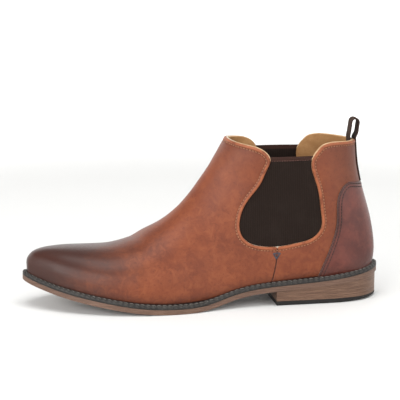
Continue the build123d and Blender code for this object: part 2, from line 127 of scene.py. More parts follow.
# Layer faces, as distances in from the outside of the leather.
LEATHER = 1.4
ELASTIC_OUT, ELASTIC_IN = -1.5, -2.6
LINING_OUT, LINING_IN = -2.7, -3.7
OVERLAY_OUT = 1.2
STRAP_WIDTH = 13.0
TAPE_THICK = 1.25
LOOP_DEPTH = 7.6
LOOP_HEIGHT = 18.4
LOOP_LEAN = 8.0
LOOP_PIVOT = (129.0, 136.0)
LOOP_CLEAR = 5.2
TAB_BOTTOM_Z = 116.0
HALF_COUNT = 72  # columns round each half of a section
HALF_SAMPLES = 721  # points along a half section before they are spaced evenly
FRONT_X, BACK_X, BELOW_Z, ABOVE_Z = -220, 260, -60, 220  # pattern corners well clear of the boot
BESIDE, BEHIND = 90, 240  # where rays to the form start
ANY_DISTANCE = 1e9
EDGE_ROWS = (0.0, 0.25, 0.7, 1.4, 2.2, 3.0, 3.8, 5.2)  # rows of points along a pattern's edge
EDGE_REACH = 0.12  # a point nearer than this to a cut is taken to lie on it
MARGIN = 8.0
FEATHER_LIFT = 0.05  # the upper stops this far above the welt
CENTRE_GAP = 0.04  # half the gap between two quarters


# ---- curves
def unit(vectors):
    """The same directions, all one long."""
    return vectors / np.linalg.norm(vectors, axis=-1, keepdims=True)


def along(stations, u):
    """Value at u of the smooth curve through (u, value) stations, flat past its ends."""
    at, value = np.array(stations, float).T
    slope = np.empty_like(value)
    slope[1:-1] = (value[2:] - value[:-2]) / (at[2:] - at[:-2])
    slope[0] = (value[1] - value[0]) / (at[1] - at[0])
    slope[-1] = (value[-1] - value[-2]) / (at[-1] - at[-2])
    u = np.clip(np.asarray(u, float), at[0], at[-1])
    i = np.clip(np.searchsorted(at, u, side="right") - 1, 0, len(at) - 2)
    span = at[i + 1] - at[i]
    t = (u - at[i]) / span
    start = (1 + 2 * t) * (1 - t) ** 2 * value[i] + t * (1 - t) ** 2 * span * slope[i]
    return start + t * t * (3 - 2 * t) * value[i + 1] + t * t * (t - 1) * span * slope[i + 1]


def spline(points, closed=False, step=0.5):
    """Points every step mm or so along the cubic spline through points, chord lengths as its parameters."""
    p = np.array(points, float)
    if closed:
        p = np.vstack([p, p[:1]])
    h = np.linalg.norm(np.diff(p, axis=0), axis=1)
    n = len(p)
    system = np.zeros((n, n))
    right = np.zeros_like(p)
    for i in range(1, n - 1):
        system[i, i - 1:i + 2] = h[i], 2 * (h[i - 1] + h[i]), h[i - 1]
        right[i] = 3 * (h[i] * (p[i] - p[i - 1]) / h[i - 1] + h[i - 1] * (p[i + 1] - p[i]) / h[i])
    if closed:
        system[0, 0], system[0, -1] = 1, -1
        system[-1, 0], system[-1, 1] = 2 * h[0] ** -1, h[0] ** -1
        system[-1, -2], system[-1, -1] = h[-1] ** -1, 2 * h[-1] ** -1
        right[-1] = 3 * ((p[1] - p[0]) / h[0] ** 2 + (p[-1] - p[-2]) / h[-1] ** 2)
    else:
        system[0, :2] = 1, 1
        right[0] = 2 * (p[1] - p[0]) / h[0]
        system[-1, -2:] = 1, 1
        right[-1] = 2 * (p[-1] - p[-2]) / h[-1]
    slope = np.linalg.solve(system, right)
    out = []
    for i in range(n - 1):
        count = max(2, int(h[i] / step))
        t = np.linspace(0, 1, count, endpoint=False)[:, None]
        out.append(
            (1 + 2 * t) * (1 - t) ** 2 * p[i] + t * (1 - t) ** 2 * h[i] * slope[i]
            + t * t * (3 - 2 * t) * p[i + 1] + t * t * (t - 1) * h[i] * slope[i + 1]
        )
    if not closed:
        out.append(p[-1:])
    return np.vstack(out)


def resample(points, pitch, closed=False):
    """Evenly spaced points along a polyline and their distances from its start."""
    p = np.vstack([points, points[:1]]) if closed else np.asarray(points, float)
    reach = np.concatenate([[0], np.cumsum(np.linalg.norm(np.diff(p, axis=0), axis=1))])
    count = max(2, round(reach[-1] / pitch) + (0 if closed else 1))
    at = np.linspace(0, reach[-1], count, endpoint=not closed)
    return np.column_stack([np.interp(at, reach, column) for column in p.T]), at


def moved_left(points, distance):
    """A closed line shifted sideways, to the left of its direction of travel."""
    ahead = unit(np.roll(points, -1, 0) - np.roll(points, 1, 0))
    return points + np.reshape(distance, (-1, 1)) * np.column_stack([-ahead[:, 1], ahead[:, 0]])


def distance_from(flat, line):
    """Distance of side-view points from an open line."""
    best = np.full(len(flat), ANY_DISTANCE)
    for a, e in zip(line[:-1], np.diff(line, axis=0)):
        t = np.clip(((flat - a) @ e) / (e @ e), 0, 1)
        best = np.minimum(best, np.linalg.norm(flat - a - t[:, None] * e, axis=1))
    return best


def distance_inside(flat, outline):
    """Distance of side-view points from a closed outline, positive inside it."""
    inside = np.zeros(len(flat), bool)
    for a, b in zip(outline, np.roll(outline, -1, 0)):
        crosses = (a[1] > flat[:, 1]) != (b[1] > flat[:, 1])
        with np.errstate(divide="ignore", invalid="ignore"):
            meets = (b[0] - a[0]) * (flat[:, 1] - a[1]) / (b[1] - a[1]) + a[0]
        inside ^= crosses & (flat[:, 0] < meets)
    best = distance_from(flat, np.vstack([outline, outline[:1]]))
    return np.where(inside, best, -best)


def smooth_step(low, high, value):
    t = np.clip((value - low) / (high - low), 0, 1)
    return t * t * (3 - 2 * t)


sole_curve = spline(SOLE_LINE)


def sole_z(x):
    """Height of the outsole's underside."""
    return np.interp(x, sole_curve[:, 0], sole_curve[:, 1])


def feather_z(x):
    """Height of the welt's top face, where the upper meets it."""
    return sole_z(x) + OUTSOLE_THICK + WELT_THICK


# ---- the form's surface
def half_section(width, crest, depth, crest_n, depth_n):
    """Evenly spaced points of half a section, from its underside round to its crest, as (side, up)."""
    turn = np.radians(np.linspace(-90, 90, HALF_SAMPLES))
    c, s = np.maximum(np.cos(turn), 0), np.abs(np.sin(turn))
    n = np.where(turn > 0, crest_n, depth_n)
    outline = np.column_stack([width * c ** (2 / n), np.where(turn > 0, crest, -depth) * s ** (2 / n)])
    whole = np.sum(np.linalg.norm(np.diff(outline, axis=0), axis=1))
    return resample(outline, whole / HALF_COUNT)[0]


def ring(side_widths, crest, depth, fullness, origin, up):
    """A closed section in space: crest, lateral side, underside, medial side."""
    lateral = half_section(side_widths[0], crest, depth, *fullness)[::-1]
    medial = half_section(side_widths[1], crest, depth, *fullness)
    points = np.vstack([lateral * (-1, 1), medial[1:-1]])
    return np.array(origin) + points[:, :1] * (0, 1, 0) + points[:, 1:] * np.array(up)


def toe_ring(angle):
    share = math.sin(math.radians(angle))
    belly = along(TOE_BELLY, angle)
    origin = (PIVOT_X - TOE_REACH * share, AXIS_Y + (TOE_TIP_Y - AXIS_Y) * share**2, belly)
    sides = along(TOE_LATERAL, angle), along(TOE_MEDIAL, angle)
    fullness = along(CREST_FULLNESS, -angle), along(BACK_FULLNESS, -angle)
    return ring(sides, along(TOE_CREST, angle) - belly, along(TOE_DEPTH, angle), fullness, origin, (0, 0, 1))


def fan_ring(angle):
    s, c = math.sin(math.radians(angle)), math.cos(math.radians(angle))
    belly = along(FAN_BELLY, angle)
    origin = (PIVOT_X + belly * s, AXIS_Y, PIVOT_Z - belly * c)
    sides = along(FAN_LATERAL, angle), along(FAN_MEDIAL, angle)
    fullness = along(CREST_FULLNESS, angle), along(BACK_FULLNESS, angle)
    crest, depth = belly - along(FAN_CREST, angle), along(FAN_BACK, angle) - belly
    return ring(sides, crest, depth, fullness, origin, (-s, 0, c))


toe_angles = [89.6, 89, 88.2, 87.2, 86, 84.5, 83, 81, 79, 77] + list(np.arange(75.5, 0.5, -1.35))
fan_angles = np.arange(0, 90.1, 0.8)
rings = np.array([toe_ring(a) for a in toe_angles] + [fan_ring(a) for a in fan_angles])
around = rings.shape[1]
ahead = np.gradient(rings, axis=0)
sideways = np.roll(rings, -1, 1) - np.roll(rings, 1, 1)
ring_normals = unit(np.cross(sideways, ahead))
form_points = rings.reshape(-1, 3)
form_normals = ring_normals.reshape(-1, 3)
if form_normals[np.argmin(form_points[:, 1]), 1] > 0:
    form_normals = -form_normals


def grid_faces(rows, columns, wrap):
    """Two triangles for each cell of a grid of points."""
    index = np.arange(rows * columns).reshape(rows, columns)
    if wrap:
        index = np.column_stack([index, index[:, 0]])
    a, b, c, d = index[:-1, :-1], index[1:, :-1], index[1:, 1:], index[:-1, 1:]
    quads = np.stack([a, b, c, d], -1).reshape(-1, 4)
    return np.vstack([quads[:, [0, 1, 2]], quads[:, [0, 2, 3]]])


# The toe's tip closes the first ring.
tip = rings[0].mean(0) + (-0.4, 0, 0)
form_points = np.vstack([form_points, tip])
form_normals = np.vstack([form_normals, (-1, 0, 0)])
tip_fan = [(len(form_points) - 1, k, (k + 1) % around) for k in range(around)]
form_faces = np.vstack([grid_faces(len(rings), around, True), tip_fan])
corner = form_points[form_faces]
facing = np.cross(corner[:, 1] - corner[:, 0], corner[:, 2] - corner[:, 0])
flipped = np.sum(facing * form_normals[form_faces].mean(1), 1) < 0
form_faces[flipped] = form_faces[flipped][:, ::-1]


def surface_tree(offset=0.0):
    """The form moved out by offset, ready for finding points on it."""
    return BVHTree.FromPolygons((form_points + offset * form_normals).tolist(), form_faces.tolist())


outer_tree = surface_tree()


def on_side(x, z, side):
    """Point and outward direction of the surface at x, z, on one of the SIDES."""
    hit, normal, _, _ = outer_tree.ray_cast(Vector((x, side * BESIDE, z)), Vector((0, -side, 0)))
    if hit is None:
        return None, None
    if normal.y * side < 0:
        normal = -normal
    return np.array(hit), np.array(normal)


# ---- cutting pieces out of the form
def sliced(points, data, faces, field, level, reach=EDGE_REACH):
    """Split triangles where field crosses level. data is a list of arrays with a value for each point."""
    f = field - level
    f = np.where(np.abs(f) < reach, 0.0, f)
    side = np.sign(f)[faces]
    mixed = (side.min(1) < 0) & (side.max(1) > 0)
    whole = faces[~mixed]
    added, made = {}, []
    new_faces = []

    def cut(a, b):
        key = (a, b) if a < b else (b, a)
        if key not in added:
            added[key] = len(points) + len(made)
            made.append((key[0], key[1], f[key[0]] / (f[key[0]] - f[key[1]])))
        return added[key]

    for tri in faces[mixed]:
        s = np.sign(f[tri])
        zeros = np.flatnonzero(s == 0)
        if len(zeros):
            k = zeros[0]
            a, b, c = tri[k], tri[(k + 1) % 3], tri[(k + 2) % 3]
            m = cut(b, c)
            new_faces += [(a, b, m), (a, m, c)]
            continue
        k = int(np.flatnonzero(s == (1 if (s > 0).sum() == 1 else -1))[0])
        a, b, c = tri[k], tri[(k + 1) % 3], tri[(k + 2) % 3]
        ab, ac = cut(a, b), cut(a, c)
        new_faces += [(a, ab, ac), (ab, b, c), (ab, c, ac)]
    if not made:
        return points, data, faces
    low, high, t = (np.array(column) for column in zip(*made))

    def grown(values):
        share = t if values.ndim == 1 else t[:, None]
        return np.concatenate([values, values[low] * (1 - share) + values[high] * share])

    return grown(points), [grown(d) for d in data], np.vstack([whole, new_faces])


def trimmed(points, data, faces, keep):
    """Only the kept faces and the points they use."""
    faces = faces[keep]
    used, index = np.unique(faces, return_inverse=True)
    return points[used], [d[used] for d in data], index.reshape(-1, 3)


def kept_above(points, data, faces, which, level, reach=EDGE_REACH):
    """Cut where data[which] crosses level, and keep what is above it."""
    points, data, faces = sliced(points, data, faces, data[which], level, reach)
    return trimmed(points, data, faces, data[which][faces].mean(1) > level)


def cut_piece(outline, side=0):
    """The form's surface inside a side-view outline, with rows of points along its edges.
    Gives points, directions out, distances in from the pattern's edge, heights above the welt, and faces."""
    near = (distance_inside(form_points[:, [0, 2]], outline)[form_faces] > -MARGIN).any(1)
    points, (normals,), faces = trimmed(form_points, [form_normals], form_faces, near)
    for level in EDGE_ROWS:
        to_edge = distance_inside(points[:, [0, 2]], outline)
        data = [normals, to_edge]
        if level == EDGE_ROWS[0]:
            points, (normals, to_edge), faces = kept_above(points, data, faces, 1, level)
        else:
            points, (normals, to_edge), faces = sliced(points, data, faces, to_edge, level)
    height = points[:, 2] - feather_z(points[:, 0])
    points, data, faces = kept_above(points, [normals, to_edge, height], faces, 2, FEATHER_LIFT)
    if side:
        beside = (points[:, 1] - AXIS_Y) * side
        points, data, faces = kept_above(points, [*data, beside], faces, 3, CENTRE_GAP, 0.03)
    normals, to_edge, height = data[:3]
    return points, unit(normals), np.maximum(to_edge, 0), height, faces


def boundary_edges(faces):
    """Directed edges that belong to one face only."""
    directed = np.vstack([faces[:, [0, 1]], faces[:, [1, 2]], faces[:, [2, 0]]])
    key = np.sort(directed, axis=1)
    _, index, count = np.unique(key, axis=0, return_index=True, return_counts=True)
    return directed[index[count == 1]]


def new_piece(name, points_mm, faces, material, attributes=None):
    """A mesh object from points in mm."""
    mesh = bpy.data.meshes.new(name)
    mesh.from_pydata((np.asarray(points_mm) * MM).tolist(), [], [tuple(int(v) for v in f) for f in faces])
    mesh.materials.append(material)
    for key, values in (attributes or {}).items():
        mesh.attributes.new(key, "FLOAT", "POINT").data.foreach_set("value", np.asarray(values, np.float32))
    mesh.polygons.foreach_set("use_smooth", [True] * len(mesh.polygons))
    piece = bpy.data.objects.new(name, mesh)
    bpy.context.scene.collection.objects.link(piece)
    return piece


def finish_piece(piece, replaces=(), body="boot"):
    """Ride on a body and stand for CAD nodes."""
    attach(piece, body)
    if replaces:
        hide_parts(*replaces)
    return piece


def sharp_at(piece, degrees):
    """Smooth shading that breaks at edges sharper than degrees."""
    for other in bpy.context.selected_objects:
        other.select_set(False)
    piece.select_set(True)
    bpy.context.view_layer.objects.active = piece
    bpy.ops.object.shade_smooth_by_angle(angle=math.radians(degrees))
    piece.select_set(False)


def two_sided(name, top, bottom, faces, material, attributes=None):
    """A closed piece between two like layers of points, with walls round their edges."""
    count = len(top)
    walls = [(a + count, b + count, b, a) for a, b in boundary_edges(faces)]
    everything = [*faces, *(faces[:, ::-1] + count), *walls]
    return new_piece(name, np.vstack([top, bottom]), everything, material, attributes)


def layered(name, cut, outer, inner, material, free=None):
    """A closed sheet piece between two distances from the form. outer and inner are numbers or arrays.
    free is the distance of each point from an edge that shows, if that isn't the whole pattern's edge."""
    points, normals, to_edge, height, faces = cut
    top = points + normals * np.broadcast_to(outer, len(points))[:, None]
    bottom = points + normals * np.broadcast_to(inner, len(points))[:, None]
    marks = {"edge_mm": np.tile(to_edge, 2), "height_mm": np.tile(height, 2)}
    marks["skin"] = np.repeat([1, 0], len(points))
    marks["free_mm"] = np.tile(to_edge if free is None else free, 2)
    piece = two_sided(name, top, bottom, faces, material, marks)
    sharp_at(piece, 50)
    return piece


def iso_line(cut, field, level):
    """The longest line on a cut piece where field is at level, as points and outward directions."""
    points, normals, _, _, faces = cut
    f = field - level
    f = np.where(np.abs(f) < 1e-6, 1e-6, f)
    crossing = faces[(np.sign(f)[faces].min(1) < 0) & (np.sign(f)[faces].max(1) > 0)]
    links, place = {}, {}
    for tri in crossing:
        ends = []
        for a, b in ((tri[0], tri[1]), (tri[1], tri[2]), (tri[2], tri[0])):
            if f[a] * f[b] < 0:
                key = (min(a, b), max(a, b))
                t = f[key[0]] / (f[key[0]] - f[key[1]])
                place[key] = (
                    points[key[0]] * (1 - t) + points[key[1]] * t,
                    normals[key[0]] * (1 - t) + normals[key[1]] * t,
                )
                ends.append(key)
        links.setdefault(ends[0], []).append(ends[1])
        links.setdefault(ends[1], []).append(ends[0])
    longest = []
    left = set(links)
    while left:
        start = next((k for k in left if len(links[k]) == 1), None) or next(iter(left))
        line, here = [start], start
        left.discard(start)
        while True:
            onward = [k for k in links[here] if k in left]
            if not onward:
                break
            here = onward[0]
            left.discard(here)
            line.append(here)
        if len(line) > len(longest):
            longest = line
    line_points, line_normals = (np.array(values) for values in zip(*(place[k] for k in longest)))
    return line_points, unit(line_normals)


# ---- materials
class Wire:
    """A node's output, which can be used in sums."""

    def __init__(self, tree, socket):
        self.tree, self.socket = tree, socket

    def sum(self, operation, *values):
        node = self.tree.nodes.new("ShaderNodeMath")
        node.operation = operation
        for socket, value in zip(node.inputs, values):
            plug(self.tree, socket, value)
        return Wire(self.tree, node.outputs[0])

    def __add__(self, other):
        return self.sum("ADD", self, other)

    def __sub__(self, other):
        return self.sum("SUBTRACT", self, other)

    def __rsub__(self, other):
        return self.sum("SUBTRACT", other, self)

    def __mul__(self, other):
        return self.sum("MULTIPLY", self, other)

    def __pow__(self, other):
        return self.sum("POWER", self, other)

    __radd__, __rmul__ = __add__, __mul__


def plug(tree, socket, value):
    """Set a socket to a value, or link it to a wire."""
    if isinstance(value, Wire):
        tree.links.new(value.socket, socket)
    elif isinstance(value, tuple) and socket.type == "RGBA" and len(value) == 3:
        socket.default_value = (*value, 1)
    else:
        socket.default_value = value


class Finish:
    """A material in the making. Constants of the surface go straight onto its shader."""

    def __init__(self, name, **constants):
        self.material = bpy.data.materials.new(name)
        self.material.use_nodes = True
        self.tree = self.material.node_tree
        self.shader = next(n for n in self.tree.nodes if n.type == "BSDF_PRINCIPLED")
        self.feed(constants)
        self.base = None
        self.place = self.node("TexCoord", output="Object")
        parts = self.node("SeparateXYZ", inputs={"Vector": self.place}, output=None)
        self.x, self.y, self.z = (Wire(self.tree, socket) for socket in parts.outputs)

    def feed(self, values):
        """Set or link the shader's own sockets."""
        for key, value in values.items():
            plug(self.tree, self.shader.inputs[key.replace("_", " ")], value)

    def node(self, kind, settings=None, inputs=None, output=0):
        """Add a node with its settings and its sockets' values or links. Gives an output, or the node."""
        node = self.tree.nodes.new("ShaderNode" + kind)
        for key, value in (settings or {}).items():
            setattr(node, key, value)
        for key, value in (inputs or {}).items():
            plug(self.tree, node.inputs[key], value)
        return node if output is None else Wire(self.tree, node.outputs[output])

    def noise(self, scale, detail=3.0, rough=0.5, warp=0.0, at=None, squeeze=None):
        """Cloudy noise, 0 to 1, with scale in bumps per metre."""
        at = at or self.place
        if squeeze:
            at = self.node("VectorMath", {"operation": "MULTIPLY"}, {0: at, 1: squeeze})
        settings = {"Vector": at, "Scale": scale, "Detail": detail, "Roughness": rough, "Distortion": warp}
        return self.node("TexNoise", inputs=settings)

    def cells(self, scale):
        """Distance from the middle of the nearest of many small cells."""
        return self.node("TexVoronoi", inputs={"Vector": self.place, "Scale": scale}, output="Distance")

    def bands(self, scale, warp, at=None, direction="X", detail=2.0):
        """Even bands, 0 to 1, across a direction."""
        settings = {"wave_type": "BANDS", "bands_direction": direction}
        inputs = {"Vector": at or self.place, "Scale": scale, "Distortion": warp, "Detail": detail}
        return self.node("TexWave", settings, inputs)

    def step(self, value, low, high):
        """0 below low, 1 above high, smooth between. Low may be the larger."""
        inputs = {"Value": value, "From Min": low, "From Max": high}
        return self.node("MapRange", {"interpolation_type": "SMOOTHSTEP"}, inputs)

    def mix(self, share, a, b):
        """Colour a, turning to b as share goes to 1."""
        node = self.node("Mix", {"data_type": "RGBA"}, output=None)
        for socket, value in zip((node.inputs[0], node.inputs[6], node.inputs[7]), (share, a, b)):
            plug(self.tree, socket, value)
        return Wire(self.tree, node.outputs[2])

    def tones(self, value, low, high, dark, light):
        """Base colour from dark to light as value goes from low to high."""
        self.base = self.mix(self.step(value, low, high), dark, light)

    def cover(self, share, colour):
        """Turn the base colour to another by share."""
        self.base = self.mix(share, self.base, colour)

    def stain(self, value, low, high, share, colour):
        """Turn the base colour to another by up to share as value goes from low to high."""
        self.cover(self.step(value, low, high) * share, colour)

    def attribute(self, name):
        return self.node("Attribute", {"attribute_name": name}, output="Fac")

    def bump(self, height, distance, strength=1.0, under=None):
        inputs = {"Height": height, "Distance": distance, "Strength": strength}
        if under:
            inputs["Normal"] = under
        return self.node("Bump", inputs=inputs)

    def done(self, **links):
        """Link the base colour and the shader's other varying inputs."""
        self.feed({"Base_Color": self.base, **links})
        return self.material


def grained_skin(finish, depth=1.0):
    """Fine calf grain, as a normal."""
    pebbles = finish.cells(1500)
    pores = finish.noise(2600, 2)
    creases = finish.noise(300, 4, 0.6)
    first = finish.bump(creases, 0.00035 * depth, 0.35)
    second = finish.bump(pebbles, 0.00012 * depth, 0.35, first)
    return finish.bump(pores, 0.00006 * depth, 0.4, second)


def upper_leather():
    """Cognac calf, polished dark at the toe and along the seams, with painted shade in the stitch groove by
    the opening.
    """
    f = Finish("cognac_calf", Specular_IOR_Level=0.26, Coat_IOR=1.4, Coat_Roughness=0.24)
    cloud = f.noise(30, 4, 0.55, 0.4)
    patch = f.noise(130, 5, 0.62, 0.9)
    fleck = f.noise(480, 5, 0.68)
    f.tones(cloud, 0.30, 0.70, (0.124, 0.0275, 0.0098), (0.168, 0.0405, 0.0136))
    f.stain(patch, 0.42, 0.76, 0.45, (0.235, 0.066, 0.0235))
    f.stain(patch, 0.50, 0.24, 0.38, (0.086, 0.0190, 0.0078))
    f.stain(fleck, 0.50, 0.70, 0.45, (0.082, 0.0195, 0.0090))
    drift = (cloud - 0.5) * 0.05 + (patch - 0.5) * 0.02
    low = f.step(f.attribute("height_mm"), 30.0, 8.0)
    toe = f.step(f.x + drift + low * 0.026, -0.028, -0.112)
    collar = f.step(f.z + drift, 0.112, 0.150) * 0.35
    waist = f.step(f.attribute("height_mm") + (patch - 0.5) * 6, 9.0, -1.0) * 0.5
    heel = f.step(f.x + drift, 0.090, 0.140) * 0.45
    shade = 1 - (1 - toe * 0.93) * (1 - collar) * (1 - waist) * (1 - heel)
    f.cover(shade, (0.029, 0.0085, 0.0055))
    edge = f.attribute("edge_mm")
    free = f.attribute("free_mm")
    rubbed = f.step(free, 3.0, 1.2) * f.step(patch, 0.25, 0.6) * 0.75
    f.cover(rubbed, (0.30, 0.092, 0.036))
    # Painted shade: a darker band in the groove of the stitch row, 2.5 to 4.1 mm in from the opening.
    channel_shade = f.step(free, 2.5, 3.1) * f.step(free, 4.1, 3.4) * 0.55
    f.cover(channel_shade, (0.070, 0.020, 0.010))
    f.cover(f.step(edge, 0.9, 0.1) * f.step(free, 0.8, 1.6) * 0.85, (0.030, 0.010, 0.007))
    f.stain(f.attribute("height_mm"), 1.6, 0.1, 0.8, (0.03, 0.010, 0.007))
    f.stain(f.attribute("skin"), 0.9, 0.1, 1, (0.36, 0.20, 0.11))
    rough = 0.42 + fleck * 0.16 - toe * 0.08 + (patch - 0.5) * 0.12
    coat = 0.05 + toe * 0.08
    return f.done(Roughness=rough, Coat_Weight=coat, Normal=grained_skin(f))


def heel_leather():
    """The foxing's darker, redder leather, with painted shade in its stitch grooves."""
    f = Finish("burnished_calf", Specular_IOR_Level=0.28, Coat_IOR=1.4, Coat_Roughness=0.24)
    cloud = f.noise(40, 4, 0.55, 0.4)
    patch = f.noise(110, 5, 0.6, 0.8)
    fleck = f.noise(420, 4, 0.65)
    f.tones(cloud, 0.34, 0.66, (0.064, 0.0135, 0.0095), (0.104, 0.0225, 0.0145))
    f.stain(patch, 0.45, 0.75, 0.4, (0.138, 0.034, 0.0215))
    f.stain(fleck, 0.50, 0.72, 0.4, (0.040, 0.0115, 0.009))
    f.stain(f.attribute("height_mm") + (patch - 0.5) * 6, 12.0, -1.0, 0.6, (0.045, 0.013, 0.009))
    edge = f.attribute("edge_mm")
    f.stain(edge, 1.0, 0.2, 0.85, (0.020, 0.0075, 0.0055))
    # Painted shade: darker bands in the grooves of the two stitch rows.
    near_row_shade = f.step(edge, 0.8, 1.3) * f.step(edge, 2.4, 1.8)
    rows = near_row_shade + f.step(edge, 3.3, 3.8) * f.step(edge, 4.8, 4.3)
    f.cover(rows * 0.5, (0.022, 0.0075, 0.0055))
    f.stain(f.attribute("skin"), 0.9, 0.1, 1, (0.30, 0.17, 0.10))
    rough = 0.38 + fleck * 0.16 + (patch - 0.5) * 0.10
    return f.done(Roughness=rough, Coat_Weight=0.22 + cloud * 0.1, Normal=grained_skin(f))


def lining_leather():
    """Pale tan lining, with painted shade darkening it deeper down inside the boot."""
    f = Finish("tan_lining", Specular_IOR_Level=0.3)
    cloud = f.noise(45, 4, 0.6, 0.3)
    fleck = f.noise(520, 4, 0.7)
    f.tones(cloud, 0.32, 0.68, (0.285, 0.140, 0.050), (0.40, 0.215, 0.088))
    f.stain(fleck, 0.48, 0.74, 0.35, (0.22, 0.10, 0.038))
    # Painted shade: darker towards the bottom of the shaft.
    f.stain(f.z, 0.105, 0.03, 0.55, (0.20, 0.10, 0.045))
    return f.done(Roughness=0.55 + fleck * 0.2, Normal=grained_skin(f, 1.4))


def edge_leather():
    """The beige turned edge round the collar."""
    f = Finish("beige_edge", IOR=1.45)
    cloud = f.noise(150, 4, 0.6)
    f.tones(cloud, 0.35, 0.68, (0.36, 0.225, 0.115), (0.52, 0.36, 0.21))
    return f.done(Roughness=0.6 + cloud * 0.15, Normal=f.bump(f.noise(1800, 3), 0.0001, 0.5))


def elastic_web():
    """Ribbed elastic: dark cords with finer crosswise yarns between."""
    sheen = {"Sheen_Weight": 0.04, "Sheen_Roughness": 0.5, "Sheen_Tint": (0.30, 0.22, 0.18)}
    f = Finish("brown_elastic", Specular_IOR_Level=0.12, **sheen)
    rib = f.bands(199.5, 0.15)
    pick = f.bands(400.0, 0.4, direction="Z", detail=1.0)
    dust = f.noise(900, 4, 0.7)
    cloud = f.noise(60, 3, 0.6)
    f.base = f.mix(rib, (0.0080, 0.0046, 0.0033), (0.0150, 0.0088, 0.0064))
    f.stain(dust, 0.52, 0.80, 0.4, (0.032, 0.022, 0.018))
    f.stain(cloud, 0.45, 0.75, 0.3, (0.020, 0.0135, 0.011))
    hem = f.step(f.z, 0.1232, 0.1238)
    f.cover(hem * 0.45, (0.060, 0.026, 0.020))
    height = rib * 0.6 + pick * 0.4
    return f.done(Roughness=0.78 + dust * 0.15, Normal=f.bump(height, 0.0002, 0.6))


def woven_tape():
    """Dark brown herringbone tape."""
    sheen = {"Sheen_Weight": 0.08, "Sheen_Roughness": 0.5, "Sheen_Tint": (0.35, 0.25, 0.2)}
    f = Finish("brown_tape", Specular_IOR_Level=0.15, **sheen)
    zig = f.node("Math", {"operation": "PINGPONG"}, {0: f.y, 1: 0.0022})
    slant = f.node("CombineXYZ", inputs={"X": f.z + zig, "Y": f.x, "Z": 0.0})
    twill = f.bands(260.0, 0.3, slant)
    dust = f.noise(1100, 4, 0.7)
    f.base = f.mix(twill, (0.014, 0.0080, 0.0062), (0.046, 0.025, 0.018))
    f.stain(dust, 0.50, 0.78, 0.5, (0.075, 0.043, 0.031))
    return f.done(Roughness=0.8 + dust * 0.12, Normal=f.bump(twill + dust * 0.4, 0.00022, 0.7))


def thread(name, dark, light, rough=0.55):
    """Twisted thread in two tones."""
    f = Finish(name, Specular_IOR_Level=0.3)
    ply = f.noise(2400, 2, 0.6)
    tone = f.noise(120, 3, 0.6)
    f.tones(ply, 0.35, 0.65, dark, light)
    f.stain(tone, 0.4, 0.75, 0.35, dark)
    return f.done(Roughness=rough + ply * 0.2, Normal=f.bump(ply, 0.0001, 0.6))


def welt_leather():
    """Dyed welt, charcoal, its ridges painted lighter grey as a highlight in specks like wear."""
    f = Finish("charcoal_welt", Specular_IOR_Level=0.25, Coat_IOR=1.4, Coat_Roughness=0.35, Coat_Weight=0.05)
    cloud = f.noise(60, 4, 0.6)
    fleck = f.noise(700, 4, 0.7)
    f.tones(cloud, 0.34, 0.68, (0.0075, 0.0068, 0.0062), (0.018, 0.0165, 0.015))
    f.stain(fleck, 0.50, 0.75, 0.5, (0.036, 0.031, 0.027))
    ridge = f.attribute("ridge")
    # Painted highlight on the ridges between the notches, broken into specks like wear.
    f.cover(ridge * f.step(fleck, 0.25, 0.6) * 0.45, (0.060, 0.053, 0.047))
    return f.done(Roughness=0.45 + fleck * 0.2, Normal=f.bump(fleck + cloud, 0.00022, 0.6))


def sole_leather(name, dark, light, edge_scale=1.0, lines=2600.0):
    """Layered fibre of a cut leather edge, and the same leather's grain below."""
    f = Finish(name, Specular_IOR_Level=0.28, Coat_IOR=1.4, Coat_Roughness=0.3)
    fibre = f.noise(1.0, 4, 0.65, squeeze=(60.0, 60.0, lines))
    cloud = f.noise(38, 4, 0.6, 0.3)
    fleck = f.noise(500, 4, 0.7)
    f.tones(fibre, 0.34, 0.68, dark, light)
    f.stain(cloud, 0.42, 0.74, 0.4, dark)
    f.stain(fleck, 0.52, 0.76, 0.3, tuple(c * 0.45 for c in dark))
    ridged = f.bump(fibre * edge_scale + fleck * 0.4, 0.00025, 0.5)
    return f.done(Roughness=0.42 + fleck * 0.25, Coat_Weight=0.15 + cloud * 0.1, Normal=ridged)


def heel_rubber():
    """Black moulded rubber with fine scuffs."""
    f = Finish("black_rubber", Specular_IOR_Level=0.25)
    grit = f.noise(1400, 4, 0.7)
    scuff = f.noise(1.0, 4, 0.7, squeeze=(60.0, 60.0, 900.0))
    f.tones(grit, 0.45, 0.75, (0.0085, 0.0075, 0.0070), (0.022, 0.019, 0.018))
    f.stain(scuff, 0.60, 0.78, 0.35, (0.06, 0.052, 0.048))
    return f.done(Roughness=0.58 + grit * 0.2, Normal=f.bump(grit, 0.0002, 0.5))


def fibre_board(name, dark, light, scale=260.0, rough=0.8):
    """Pressed fibre or felt, for the hidden layers."""
    f = Finish(name, IOR=1.45)
    fuzz = f.noise(scale, 5, 0.7, 0.5)
    fine = f.noise(scale * 6, 3, 0.7)
    f.tones(fuzz, 0.35, 0.68, dark, light)
    f.stain(fine, 0.52, 0.78, 0.35, dark)
    return f.done(Roughness=rough + fine * 0.15, Normal=f.bump(fuzz + fine, 0.0003, 0.6))


def bright_steel(name):
    """Drawn steel with fine lengthwise marks."""
    f = Finish(name)
    drawn = f.noise(1.0, 3, 0.6, squeeze=(200.0, 3000.0, 3000.0))
    f.tones(drawn, 0.3, 0.7, (0.42, 0.41, 0.40), (0.62, 0.61, 0.60))
    return f.done(Metallic=1.0, Roughness=0.25 + drawn * 0.2, Normal=f.bump(drawn, 0.00005, 0.4))


